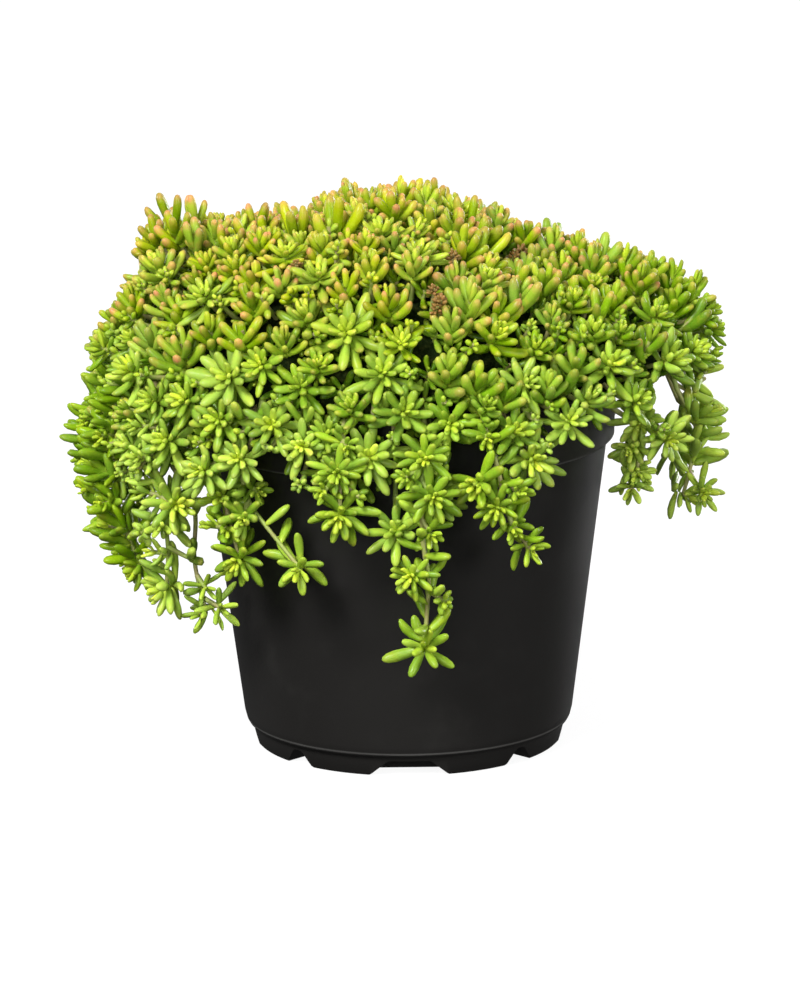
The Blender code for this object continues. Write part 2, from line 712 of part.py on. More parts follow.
def trail_route(outer_points):
    """A trailing stem's whole route: out of the potting mix, over the rim and down."""
    outside = [Vector(point) * MM for point in outer_points]
    azimuth = math.atan2(outside[0].y, outside[0].x)
    ray = Vector((math.cos(azimuth), math.sin(azimuth), 0))
    rise = [
        ray * TRAIL_ROOT_CIRCLE + UP * (SOIL_TOP - ROOT_DEPTH),
        ray * TRAIL_ROOT_CIRCLE + UP * (SOIL_TOP + 4 * MM),
        ray * (TRAIL_ROOT_CIRCLE + 3 * MM) + UP * (RIM_CROSSING_HEIGHT - 2.5 * MM),
        ray * (TRAIL_ROOT_CIRCLE + 7.5 * MM) + UP * RIM_CROSSING_HEIGHT,
    ]
    return rise + outside, ray


def build_tube(name, points, radius, material):
    """A round stem along its points."""
    curve = bpy.data.curves.new(name, "CURVE")
    curve.dimensions = "3D"
    curve.bevel_depth = radius
    curve.bevel_resolution = 0
    curve.use_fill_caps = True
    spline = curve.splines.new("POLY")
    spline.points.add(len(points) - 1)
    for place, point in zip(spline.points, points):
        place.co = (*point, 1)
    drawn = bpy.data.objects.new(name + "_line", curve)
    bpy.context.collection.objects.link(drawn)
    evaluated = drawn.evaluated_get(bpy.context.evaluated_depsgraph_get())
    bm = bmesh.new()
    bm.from_mesh(bpy.data.meshes.new_from_object(evaluated))
    bmesh.ops.remove_doubles(bm, verts=bm.verts, dist=0.00001)
    bpy.data.objects.remove(drawn, do_unlink=True)
    return make_object(name, bm, material)


def trail_rosettes(name, points, rng, room, owner):
    """The rosettes along a trailing stem and at its tip."""
    pieces = []
    lengths = np.cumsum([0] + [(b - a).length for a, b in zip(points, points[1:])])
    outside = next(index for index, point in enumerate(points)
                   if math.hypot(point.x, point.y) > COLLAR_RADIUS + COLLAR_CLEARANCE
                   and point.z < TRAIL_ROSETTE_TOP)
    spots = np.arange(lengths[-1] - TRAIL_ROSETTE_SPACING, lengths[outside],
                      -TRAIL_ROSETTE_SPACING)
    tip = points[-1]
    ahead = (tip - points[-2]).normalized()
    out = Vector((tip.x, tip.y, 0)).normalized()
    axis = (ahead + out * TIP_LEAN).normalized()
    pieces.append(grow_rosette(f"{name}_tip", tip + ahead * TIP_REACH, axis,
                               tip - ahead * TIP_ROOT, 1.0, rng, room, owner * 100, [owner]))
    side = 1
    for count, spot in enumerate(spots):
        place = Vector([float(np.interp(spot, lengths, [point[axis] for point in points]))
                        for axis in range(3)])
        out = Vector((place.x, place.y, 0)).normalized()
        along = out.cross(UP)
        axis = (out + along * side * TRAIL_SIDE_LEAN - UP * TRAIL_DROOP).normalized()
        size = rng.uniform(*TRAIL_ROSETTE_SIZES)
        centre = place + axis * TRAIL_ROSETTE_STANDOFF
        pieces.append(grow_rosette(f"{name}_{count}", centre, axis, place, size, rng, room,
                                   owner * 100 + count + 1, [owner]))
        side = -side
    return [piece for piece in pieces if piece]


def build_trails(rng, room, material):
    """The stems that trail over the rim, with their rosettes."""
    roots = []
    centres = []
    routes = []
    for owner, (name, outer_points) in enumerate(TRAILS.items(), start=1):
        own_points, ray = trail_route(outer_points)
        points = smooth_route(own_points, TRAIL_STEP)
        for start, end in zip(points, points[1:]):
            room.add(start, end, TRAIL_RADIUS, owner)
        roots.append(((ray.x * TRAIL_ROOT_CIRCLE, ray.y * TRAIL_ROOT_CIRCLE), TRAIL_RADIUS,
                      TRAIL_HOLE_GAP))
        routes.append((owner, name, points))
    for owner, name, points in routes:
        stem = build_tube(name, points, TRAIL_RADIUS, material)
        pieces = trail_rosettes(name, points, rng, room, owner)
        centres += [piece.data.vertices[0].co.copy() for piece in pieces]
        apply_boolean(stem, pieces, "UNION")
        stem.data.shade_smooth()
    return roots, centres


def build_clumps(rng, room, centres, material):
    """The clumps of the mound: a core, its stock and its rosettes, joined."""
    zones = clump_zones()
    shoots = grow_mound(rng, room, centres, zones)
    roots = []
    for zone, pieces in zip(zones, shoots):
        core = build_core(zone, material)
        place = stock_place(zone)
        stock = upright_peg("stock", place, STOCK_RADIUS, SOIL_TOP - ROOT_DEPTH,
                            CORE_FOOT + 4 * MM)
        apply_boolean(core, [stock, *pieces], "UNION")
        core.data.shade_smooth()
        roots.append((place, STOCK_RADIUS, STOCK_GAP))
    return roots


def main():
    """Build every piece."""
    clear_scene()
    rng = random.Random(SEED)
    room = Room()
    plastic = make_material("black_plastic", (0.02, 0.02, 0.019), 0.5)
    mix = make_material("potting_mix", (0.045, 0.028, 0.018), 0.95)
    leaf = make_material("stonecrop", (0.19, 0.38, 0.05), 0.45)
    build_pot(plastic)
    trail_roots, centres = build_trails(rng, room, leaf)
    clump_roots = build_clumps(rng, room, centres, leaf)
    build_soil(mix, trail_roots + clump_roots)


main()
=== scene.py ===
"""The potted stonecrop's finish: every leaf, shoot and stem, the moulded pot, light and camera.

Metres, +Z up, the front at -Y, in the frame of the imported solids. The mound's surface, the clumps
and the trailing stems' routes are the same as the solids' own, so each piece of foliage takes the
place of its solid.
"""

import json
import logging
import math
import random
from dataclasses import dataclass, field, replace
from enum import Enum

import bmesh
import bpy
import numpy as np
from mathutils import Matrix, Vector, noise

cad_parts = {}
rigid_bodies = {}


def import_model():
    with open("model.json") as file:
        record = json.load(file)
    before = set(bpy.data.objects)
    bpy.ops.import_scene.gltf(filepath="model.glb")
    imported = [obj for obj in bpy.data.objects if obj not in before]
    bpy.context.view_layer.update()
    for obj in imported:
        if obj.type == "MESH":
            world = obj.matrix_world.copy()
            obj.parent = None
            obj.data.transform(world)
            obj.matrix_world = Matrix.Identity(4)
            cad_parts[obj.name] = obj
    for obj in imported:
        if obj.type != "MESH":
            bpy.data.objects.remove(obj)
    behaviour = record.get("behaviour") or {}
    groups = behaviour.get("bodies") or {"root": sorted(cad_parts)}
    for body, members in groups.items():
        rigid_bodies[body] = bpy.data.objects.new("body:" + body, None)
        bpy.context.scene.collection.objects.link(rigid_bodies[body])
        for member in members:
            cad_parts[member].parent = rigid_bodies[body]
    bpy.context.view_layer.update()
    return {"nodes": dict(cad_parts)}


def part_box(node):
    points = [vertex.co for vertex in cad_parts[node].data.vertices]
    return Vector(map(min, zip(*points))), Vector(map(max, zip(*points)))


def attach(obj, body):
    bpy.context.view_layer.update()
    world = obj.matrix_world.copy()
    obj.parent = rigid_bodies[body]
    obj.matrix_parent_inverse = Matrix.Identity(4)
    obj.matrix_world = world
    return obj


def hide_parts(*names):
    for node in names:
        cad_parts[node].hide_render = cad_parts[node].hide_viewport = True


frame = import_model()

LOG = logging.getLogger("potted_stonecrop")
MM = 0.001
UP = Vector((0, 0, 1))
SEED = 7
GOLDEN_ANGLE = math.radians(137.5)

Pair = tuple[float, float]
Triple = tuple[float, float, float]


def share_of(value: float, start: float, end: float) -> float:
    """How far a value has come from a start to an end.

    Args:
        value: the value.
        start: where the share is 0.
        end: where the share is 1.

    Returns:
        The share, from 0 to 1.
    """
    return min(max((value - start) / (end - start), 0), 1)


def bearing(point: Vector) -> float:
    """The direction from the axis to a point, seen from above."""
    return math.atan2(point.y, point.x)


def outwards(point: Vector) -> Vector:
    """The level direction of length one that leads from the axis to a point."""
    return Vector((point.x, point.y, 0)).normalized()


def sway(rng: random.Random, amount: float) -> Vector:
    """A lean to any side by chance, of about the amount that is given."""
    return Vector((rng.gauss(0, 1), rng.gauss(0, 1), rng.gauss(0, 1))) * amount


def show(name: str, data: bpy.types.ID) -> bpy.types.Object:
    """Put a new object with a mesh, curve, light or camera into the scene, at the origin.

    Args:
        name: the object's name.
        data: what it shows.

    Returns:
        The object.
    """
    item = bpy.data.objects.new(name, data)
    bpy.context.scene.collection.objects.link(item)
    return item


def as_mesh(name: str, bm: bmesh.types.BMesh) -> bpy.types.Mesh:
    """Make a smooth mesh of a bmesh.

    Args:
        name: the mesh's name.
        bm: the bmesh, which is freed.

    Returns:
        The mesh.
    """
    mesh = bpy.data.meshes.new(name)
    bm.to_mesh(mesh)
    bm.free()
    mesh.shade_smooth()
    return mesh


def applied(item: bpy.types.Object) -> bpy.types.Mesh:
    """Make a mesh of an object, with its modifiers or its curve's thickness applied.

    Args:
        item: the object, which is removed.

    Returns:
        The mesh.
    """
    evaluated = item.evaluated_get(bpy.context.evaluated_depsgraph_get())
    mesh = bpy.data.meshes.new_from_object(evaluated)
    bpy.data.objects.remove(item, do_unlink=True)
    return mesh


class LeafForm(Enum):
    """The leaf shapes, by where on a shoot or on the plant they grow."""

    PLUMP = "plump"
    OVAL = "oval"
    YOUNG = "young"
    BEAD = "bead"


class Part(Enum):
    """What a face of a foliage piece belongs to, as its material's place on the piece."""

    LEAF = 0
    STEM = 1
    UNDERSTORY = 2


@dataclass(frozen=True)
class LeafShape:
    """A leaf's outline as shares of its length and of half its width, and how it is made."""

    outline: tuple[Pair, ...]
    sides: int
    flatness: float
    bends: tuple[float, ...]


LEAF_SHAPES = {
    LeafForm.PLUMP: LeafShape(
        ((0.0, 0.0), (0.02, 0.55), (0.14, 0.8), (0.42, 0.95), (0.72, 1.0), (0.89, 0.84),
         (0.972, 0.48), (1.0, 0.0)), 6, 0.9, (0.0, 0.14, 0.3)),
    LeafForm.OVAL: LeafShape(
        ((0.0, 0.0), (0.02, 0.42), (0.16, 0.66), (0.42, 0.9), (0.68, 1.0), (0.87, 0.79),
         (0.966, 0.43), (1.0, 0.0)), 6, 0.74, (0.0, 0.16, 0.34)),
    LeafForm.YOUNG: LeafShape(
        ((0.0, 0.0), (0.05, 0.6), (0.5, 0.98), (0.86, 0.86), (0.97, 0.48), (1.0, 0.0)), 5, 0.7,
        (0.1, 0.3)),
    LeafForm.BEAD: LeafShape(
        ((0.0, 0.0), (0.14, 0.6), (0.6, 1.0), (0.88, 0.66), (1.0, 0.0)), 5, 1.0, (0.0,)),
}


@dataclass(frozen=True)
class Habit:
    """How the leaves of one kind of shoot stand, from its lowest leaf to its heart."""

    leaves: int
    span: float
    lifts: Pair
    lengths: Pair
    slimness: Pair
    form: LeafForm = LeafForm.OVAL
    young_from: float = 0.55
    gathering: float = 1.0
    freshness: float = 1.0
    blushing: float = 0.35
    lean: float = 0.3


STAR = Habit(21, 6 * MM, (-2, 66), (16.5 * MM, 4.8 * MM), (0.25, 0.43), young_from=0.6)
CUP = Habit(18, 8.5 * MM, (20, 76), (15 * MM, 5 * MM), (0.27, 0.42), LeafForm.PLUMP,
            freshness=0.85, blushing=0.6, lean=0.9)
TUFT = Habit(16, 10 * MM, (38, 86), (14 * MM, 8 * MM), (0.31, 0.36), LeafForm.PLUMP, 0.8,
             freshness=0.5, blushing=1.0, lean=2.2)
LONG = Habit(4, 5 * MM, (58, 76), (18 * MM, 15 * MM), (0.26, 0.28), LeafForm.PLUMP, 2.0,
             freshness=0.0, blushing=0.8, lean=1.3)
SPRAY = Habit(14, 13 * MM, (10, 70), (14 * MM, 5.2 * MM), (0.3, 0.42), gathering=0.85,
              freshness=0.85, blushing=0.15)
HAND = Habit(12, 8 * MM, (-6, 68), (14.5 * MM, 5.5 * MM), (0.29, 0.4), young_from=0.7,
             freshness=0.6, blushing=0.15)
SPRIG = Habit(8, 7 * MM, (4, 72), (13.5 * MM, 6 * MM), (0.23, 0.34), freshness=0.4,
              blushing=0.1)
BUD = Habit(12, 6 * MM, (5, 84), (5.4 * MM, 3 * MM), (0.5, 0.6), LeafForm.BEAD, 2.0,
            freshness=0.85, blushing=0.3)
DRIED = Habit(22, 4 * MM, (0, 84), (4.6 * MM, 2.6 * MM), (0.42, 0.5), LeafForm.BEAD, 2.0,
              freshness=0.0, blushing=0.0, lean=1.0)
INNER = Habit(8, 6 * MM, (5, 62), (13 * MM, 8 * MM), (0.29, 0.33), young_from=2.0,
              freshness=0.0)

TOP_MIX = ((0.68, TUFT), (1.0, CUP))
SLOPE_MIX = ((0.35, TUFT), (0.75, CUP), (1.0, STAR))
RIGHT_MIX = ((0.3, TUFT), (0.6, CUP), (1.0, STAR))
SIDE_MIX = ((0.6, STAR), (1.0, CUP))


@dataclass
class Mound:
    """The squared dome that the leaf tips reach, over and around the pot."""

    base: float = 112 * MM
    rise: float = 106 * MM
    reach: float = 119.5 * MM
    stretch: float = 11 * MM
    squareness: float = 3.4
    right_step: Pair = (20 * MM, 52 * MM)
    right_drop: float = 12.5 * MM
    halvings: int = 30
    lumps: tuple[tuple[float, float, float, float], ...] = (
        (-96, 0, 20, 8), (-38, 8, 12, -4), (-4, 6, 17, 7), (34, -50, 16, -4), (-50, -60, 20, 4),
        (60, 60, 24, 4), (-20, 66, 22, 3), (112, 0, 22, 12))
    edge: tuple[Pair, ...] = (
        (-180, 120), (-150, 118), (-130, 133), (-112, 124), (-98, 122), (-80, 124), (-62, 136),
        (-42, 146), (-26, 130), (-8, 124), (25, 122), (60, 120), (90, 118), (125, 118),
        (155, 120), (180, 120))

    def reach_at(self, azimuth: float) -> float:
        """How far the leaf tips stand from the axis at the mound's widest."""
        return self.reach + self.stretch * math.cos(2 * azimuth)

    def lump_height(self, x: float, y: float) -> float:
        """How much the mound's step, swellings and hollows lift it at a place.

        Args:
            x: the place to the right of the axis.
            y: the place behind the axis.

        Returns:
            The lift in metres.
        """
        share = share_of(x, *self.right_step)
        total = -self.right_drop * share * share * (3 - 2 * share)
        for across, back, spread, height in self.lumps:
            distance = ((x / MM - across) ** 2 + (y / MM - back) ** 2) / (2 * spread ** 2)
            total += height * MM * math.exp(-distance)
        return total

    def level(self, point: Vector, depth: float) -> float:
        """Below zero inside the surface that lies so far under the leaf tips, above it outside.

        Args:
            point: the point to test.
            depth: how far under the leaf tips the surface lies.

        Returns:
            A share of the mound's size, negative inside.
        """
        across = math.hypot(point.x, point.y) / (self.reach_at(bearing(point)) - depth)
        height = self.rise - depth + self.lump_height(point.x, point.y)
        up = max(point.z - self.base, 0) / height
        return across ** self.squareness + up ** self.squareness - 1

    def normal(self, point: Vector) -> Vector:
        """The mound's outward direction at a point near its surface.

        Args:
            point: a point near the surface.

        Returns:
            The direction, of length one.
        """
        step = 1 * MM
        slopes = []
        for axis in (Vector((step, 0, 0)), Vector((0, step, 0)), Vector((0, 0, step))):
            slopes.append(self.level(point + axis, 0) - self.level(point - axis, 0))
        return Vector(slopes).normalized()

    def point(self, azimuth: float, climb: float, depth: float) -> Vector:
        """A point so far under the leaf tips; climb runs from the base up to a right angle.

        Args:
            azimuth: the direction from the axis.
            climb: the angle up the mound.
            depth: how far under the leaf tips the surface lies.

        Returns:
            The point.
        """
        power = 2 / self.squareness
        radius = (self.reach_at(azimuth) - depth) * max(math.cos(climb), 0) ** power
        x = radius * math.cos(azimuth)
        y = radius * math.sin(azimuth)
        rise = self.rise - depth + self.lump_height(x, y)
        return Vector((x, y, self.base + rise * max(math.sin(climb), 0) ** power))

    def climb_at_height(self, azimuth: float, height: float, depth: float) -> float:
        """The climb at which the surface stands at a height.

        Args:
            azimuth: the direction from the axis.
            height: the height to reach.
            depth: how far under the leaf tips the surface lies.

        Returns:
            The climb in radians.
        """
        low, high = 0.0, math.pi / 2
        for _ in range(self.halvings):
            middle = (low + high) / 2
            if self.point(azimuth, middle, depth).z < height:
                low = middle
            else:
                high = middle
        return low

    def climb_at_radius(self, azimuth: float, radius: float, depth: float) -> float:
        """The climb at which the surface comes in to a radius."""
        share = min(radius / (self.reach_at(azimuth) - depth), 1)
        return math.acos(share ** (self.squareness / 2))

    def edge_height(self, point: Vector) -> float:
        """The height of the mound's lower edge below or above a point."""
        turn = (math.degrees(bearing(point)) + 180) % 360 - 180
        return float(np.interp(turn, *zip(*self.edge))) * MM


@dataclass
class PhotoCamera:
    """The photograph's camera: where it stands, what it looks at and how it frames it."""

    width: int = 800
    height: int = 1001
    distance: float = 2.6
    elevation: float = math.radians(14.11)
    roll: float = math.radians(-0.64)
    focal_pixels: float = 6611
    sensor: float = 36
    clip_end: float = 50
    target: Vector = field(default_factory=lambda: Vector((0, 0, 85 * MM)))
    target_pixel: Pair = (406.6, 525.5)

    def place(self) -> Vector:
        """Where the camera stands."""
        back = Vector((0, -math.cos(self.elevation), math.sin(self.elevation)))
        return self.target + back * self.distance

    def turn(self) -> Matrix:
        """The camera's rotation, with its roll."""
        look = (self.target - self.place()).to_track_quat("-Z", "Y").to_matrix()
        return look @ Matrix.Rotation(self.roll, 3, "Z")

    def ray(self, pixel: Pair) -> Vector:
        """The direction from the camera through a pixel of the photograph.

        Args:
            pixel: across and down in the photograph.

        Returns:
            The direction, of length one.
        """
        across = (pixel[0] - self.target_pixel[0]) / self.focal_pixels
        down = (pixel[1] - self.target_pixel[1]) / self.focal_pixels
        return (self.turn() @ Vector((across, -down, -1))).normalized()

    def pixel(self, point: Vector) -> Pair:
        """Where a point stands in the photograph.

        Args:
            point: the point in metres.

        Returns:
            Across and down in the photograph.
        """
        seen = self.turn().transposed() @ (point - self.place())
        scale = self.focal_pixels / -seen.z
        return (self.target_pixel[0] + seen.x * scale, self.target_pixel[1] - seen.y * scale)

    def spot(self, pixel: Pair, y: float) -> Vector:
        """The point behind a pixel that stands at a distance y from the pot's middle plane.

        Args:
            pixel: across and down in the photograph.
            y: how far behind the middle plane the point stands.

        Returns:
            The point in metres.
        """
        eye = self.place()
        ray = self.ray(pixel)
        return eye + ray * ((y - eye.y) / ray.y)

    def build(self) -> None:
        """Put the camera into the scene."""
        data = bpy.data.cameras.new("camera")
        data.sensor_fit = "VERTICAL"
        data.sensor_height = self.sensor
        data.lens = self.focal_pixels * self.sensor / self.height
        data.shift_x = (self.width / 2 - self.target_pixel[0]) / self.height
        data.shift_y = (self.target_pixel[1] - self.height / 2) / self.height
        data.clip_end = self.clip_end
        item = show("camera", data)
        item.matrix_world = Matrix.Translation(self.place()) @ self.turn().to_4x4()
        bpy.context.scene.camera = item


@dataclass(frozen=True)
class Clearings:
    """What the photograph shows free of leaves: the sky over the plant, and the gaps in it.

    The skyline and the gaps are in the photograph's pixels: across and down, and for a gap its
    radius and how far back it reaches in millimetres.
    """

    camera: PhotoCamera
    skyline: tuple[Pair, ...] = (
        (66, 352), (75, 343), (90, 308), (104, 297), (117, 290), (122, 228), (135, 208),
        (150, 199), (185, 192), (205, 202), (240, 200), (300, 205), (318, 197), (330, 178),
        (385, 172), (425, 175), (440, 185), (465, 188), (480, 201), (520, 213), (555, 225),
        (620, 236), (680, 258), (700, 272), (718, 298), (732, 330), (738, 400))
    gaps: tuple[tuple[float, float, float, float], ...] = (
        (466, 461, 14, 30), (272, 468, 10, 30), (575, 456, 10, 30), (671, 388, 13, 400),
        (664, 402, 8, 400), (652, 357, 7, 400), (211, 535, 6, 400), (215, 560, 6, 400),
        (724, 384, 12, 400), (711, 378, 6, 400), (128, 263, 9, 400), (76, 388, 8, 400))
    slack: float = 6
    leaf_margin: float = 4
    shoot_margin: float = 8
    stem_margin: float = 2

    def over_skyline(self, point: Vector) -> float:
        """How far a point stands over the photograph's skyline, in pixels."""
        across, down = self.camera.pixel(point)
        return float(np.interp(across, *zip(*self.skyline))) - down

    def in_gap(self, point: Vector, margin: float) -> bool:
        """Whether a point stands in a gap, or within a margin of it in pixels.

        Args:
            point: the point in metres.
            margin: how near it may come, in pixels.

        Returns:
            True where it stands in a gap.
        """
        across, down = self.camera.pixel(point)
        return any(math.hypot(across - x, down - y) < radius + margin and point.y < depth * MM
                   for x, y, radius, depth in self.gaps)

    def stops_leaf(self, middle: Vector, tip: Vector) -> bool:
        """Whether a leaf would stand in a gap or over the skyline."""
        return (self.over_skyline(tip) > self.slack or self.in_gap(tip, self.leaf_margin)
                or self.in_gap(middle, self.leaf_margin))


class Wire:
    """A node's output socket, on which Python's operators add Math nodes."""

    def __init__(self, maker: "NodeMaker", socket: bpy.types.NodeSocket) -> None:
        """Hold a socket."""
        self.maker = maker
        self.socket = socket

    def _math(self, operation: str, first: object, second: object) -> "Wire":
        """Add one Math node."""
        return self.maker.node("ShaderNodeMath", {"operation": operation}, {0: first, 1: second})

    def __add__(self, other: object) -> "Wire":
        """Add."""
        return self._math("ADD", self, other)

    __radd__ = __add__

    def __sub__(self, other: object) -> "Wire":
        """Subtract from this."""
        return self._math("SUBTRACT", self, other)

    def __rsub__(self, other: object) -> "Wire":
        """Subtract this from a value."""
        return self._math("SUBTRACT", other, self)

    def __mul__(self, other: object) -> "Wire":
        """Multiply."""
        return self._math("MULTIPLY", self, other)

    __rmul__ = __mul__


class NodeMaker:
    """Adds nodes to a tree, with their settings, values and links."""

    def __init__(self, tree: bpy.types.NodeTree) -> None:
        """Work on one tree."""
        self.tree = tree

    def node(self, kind: str, settings: dict | None = None, inputs: dict | None = None,
             output: int | str = 0) -> Wire:
        """Add a node.

        Args:
            kind: the node's type.
            settings: its own properties, set before its sockets.
            inputs: the values or wires of its sockets, by name or number.
            output: the output to return.

        Returns:
            The chosen output.
        """
        node = self.tree.nodes.new(kind)
        for name, value in (settings or {}).items():
            setattr(node, name, value)
        for key, value in (inputs or {}).items():
            self.feed(node.inputs[key], value)
        return Wire(self, node.outputs[output])

    def feed(self, socket: bpy.types.NodeSocket, value: object) -> None:
        """Give a socket a wire, a number or a colour.

        Args:
            socket: the input socket.
            value: a wire, a number or a colour.
        """
        if isinstance(value, Wire):
            self.tree.links.new(value.socket, socket)
        elif socket.type == "RGBA" and len(value) == 3:
            socket.default_value = (*value, 1)
        else:
            socket.default_value = value

    def ramp(self, value: Wire, low: float, high: float) -> Wire:
        """A smooth rise from 0 to 1 as the value goes from low to high."""
        return self.node("ShaderNodeMapRange", {"interpolation_type": "SMOOTHSTEP"}, {
            "Value": value, "From Min": low, "From Max": high})


class MaterialMaker(NodeMaker):
    """One material and the nodes that paint it."""

    def __init__(self, name: str) -> None:
        """Start a material, with its shader and object coordinates.

        Args:
            name: the material's name.
        """
        self.material = bpy.data.materials.new(name)
        self.material.use_nodes = True
        super().__init__(self.material.node_tree)
        self.shader = self.tree.nodes["Principled BSDF"]
        self.place = self.node("ShaderNodeTexCoord", output="Object")

    def attribute(self, name: str) -> Wire:
        """A number that the mesh carries at each point."""
        return self.node("ShaderNodeAttribute", {"attribute_name": name}, output="Fac")

    def noise(self, scale: float, detail: float = 2, roughness: float = 0.5) -> Wire:
        """Cloudy noise through the object, from 0 to 1; scale is in patches a metre."""
        return self.node("ShaderNodeTexNoise", inputs={
            "Vector": self.place, "Scale": scale, "Detail": detail, "Roughness": roughness})

    def between(self, share: Wire, ends: Pair) -> Wire:
        """A number that goes from one end to the other with a share from 0 to 1."""
        return share * (ends[1] - ends[0]) + ends[0]

    def mix(self, first: object, second: object, share: object) -> Wire:
        """Two colours mixed."""
        return self.node("ShaderNodeMix", {"data_type": "RGBA"}, {0: share, 6: first, 7: second},
                         2)

    def shine(self, **values: object) -> None:
        """Set the shader's sockets, by names with spaces written as underscores."""
        for name, value in values.items():
            self.feed(self.shader.inputs[name.replace("_", " ")], value)

    def bump(self, height: Wire, strength: float, distance: float) -> Wire:
        """The normal that a height gives."""
        return self.node("ShaderNodeBump", inputs={
            "Height": height, "Strength": strength, "Distance": distance}, output="Normal")


@dataclass(frozen=True)
class LeafFinish:
    """Waxy leaves: green, chartreuse at the heart, coral tips where the sun reaches; painted shade.
    """

    name: str = "stonecrop_leaf"
    mature: Triple = (0.16, 0.35, 0.002)
    sunlit: Triple = (0.47, 0.48, 0.005)
    hanging: Triple = (0.37, 0.55, 0.08)
    young: Triple = (0.66, 0.78, 0.06)
    root: Triple = (0.52, 0.62, 0.07)
    coral: Triple = (0.57, 0.25, 0.10)
    # deep green that the painted shade darkens leaves towards
    deep: Triple = (0.06, 0.18, 0.002)
    dried: Triple = (0.24, 0.095, 0.045)
    speckle_scale: float = 1500
    speckle_share: float = 0.2
    blotch_scale: float = 260
    blotch_share: float = 0.22
    sun_reach: Pair = (0.05, 0.9)
    heart_reach: Pair = (0.35, 1.0)
    root_reach: Pair = (0.0, 0.4)
    flush_reach: Pair = (0.68, 1.04)
    flush_share: float = 0.92
    freckle_share: float = 0.26
    values: Pair = (0.75, 1.21)
    hue_spread: float = 0.016
    roughness: Pair = (0.2, 0.36)
    gloss: float = 0.18

    def build(self) -> bpy.types.Material:
        """Make the material.

        Returns:
            The material.
        """
        m = MaterialMaker(self.name)
        along = m.attribute("along")
        youth = m.attribute("youth")
        blush = m.attribute("blush")
        blotch = m.noise(self.blotch_scale, 3, 0.6)
        speckle = m.ramp(m.noise(self.speckle_scale, 1), 0.56, 0.72)
        sun = m.attribute("sun")
        reach = m.ramp(along, *self.sun_reach) * 0.75 + 0.25
        body = m.mix(self.mature, self.sunlit, sun * reach)
        body = m.mix(body, self.hanging, m.attribute("pale"))
        # painted shade: the shade tint darkens the inner layer most, the plant's right side and the
        # curtain trails more, and some leaves at random
        body = m.mix(body, self.deep, m.attribute("shade"))
        body = m.mix(body, self.young, youth * (1.1 - m.ramp(along, *self.heart_reach) * 0.5))
        body = m.mix(body, self.root, (1 - m.ramp(along, *self.root_reach)) * (0.6 - sun * 0.4))
        body = m.mix(body, self.sunlit, m.ramp(blotch, 0.45, 0.75) * self.blotch_share)
        flush = m.ramp(along + (blotch - 0.5) * 0.35, *self.flush_reach) * blush
        freckles = m.ramp(blotch, 0.5, 0.72) * blush
        body = m.mix(body, self.coral, flush * self.flush_share + freckles * self.freckle_share)
        body = m.mix(body, self.root, speckle * self.speckle_share)
        body = m.mix(body, self.dried, m.attribute("dry"))
        tone = m.attribute("tone")
        toned = m.node("ShaderNodeHueSaturation", inputs={
            "Color": body, "Value": m.between(tone, self.values),
            "Hue": 0.5 - tone * self.hue_spread + self.hue_spread / 2})
        grain = m.noise(self.speckle_scale * 1.6, 2)
        m.shine(Base_Color=toned, Roughness=m.between(blotch, self.roughness),
                Specular_IOR_Level=self.gloss, Subsurface_Weight=0.12,
                Subsurface_Radius=(0.6, 1.0, 0.25), Subsurface_Scale=1.6 * MM,
                Normal=m.bump(grain + speckle * 0.5, 0.12, 0.2 * MM))
        return m.material


@dataclass(frozen=True)
class StemFinish:
    """The trailing and inner stems: greenish tan, pinker with age."""

    name: str = "stonecrop_stem"
    fresh: Triple = (0.32, 0.42, 0.08)
    aged: Triple = (0.36, 0.31, 0.13)
    scale: float = 120
    patch_range: Pair = (0.35, 0.65)
    roughness: Pair = (0.45, 0.65)

    def build(self) -> bpy.types.Material:
        """Make the material.

        Returns:
            The material.
        """
        m = MaterialMaker(self.name)
        patches = m.ramp(m.noise(self.scale, 3), *self.patch_range)
        grain = m.noise(self.scale * 12, 2)
        m.shine(Base_Color=m.mix(self.fresh, self.aged, patches),
                Roughness=m.between(grain, self.roughness), Normal=m.bump(grain, 0.3, 0.2 * MM))
        return m.material


@dataclass(frozen=True)
class UnderstoryFinish:
    """The tangle under the leaves: dead leaves and stems, painted near black as shade, with paler
    litter.
    """

    name: str = "stonecrop_understory"
    # near black: painted shade in the gaps between the shoots
    dark: Triple = (0.010, 0.020, 0.003)
    litter: Triple = (0.045, 0.055, 0.012)
    scale: float = 300
    litter_range: Pair = (0.5, 0.7)

    def build(self) -> bpy.types.Material:
        """Make the material.

        Returns:
            The material.
        """
        m = MaterialMaker(self.name)
        tangle = m.noise(self.scale, 4, 0.65)
        litter = m.ramp(tangle, *self.litter_range)
        m.shine(Base_Color=m.mix(self.dark, self.litter, litter), Roughness=0.9,
                Specular_IOR_Level=0.1, Normal=m.bump(tangle, 0.8, 2 * MM))
        return m.material


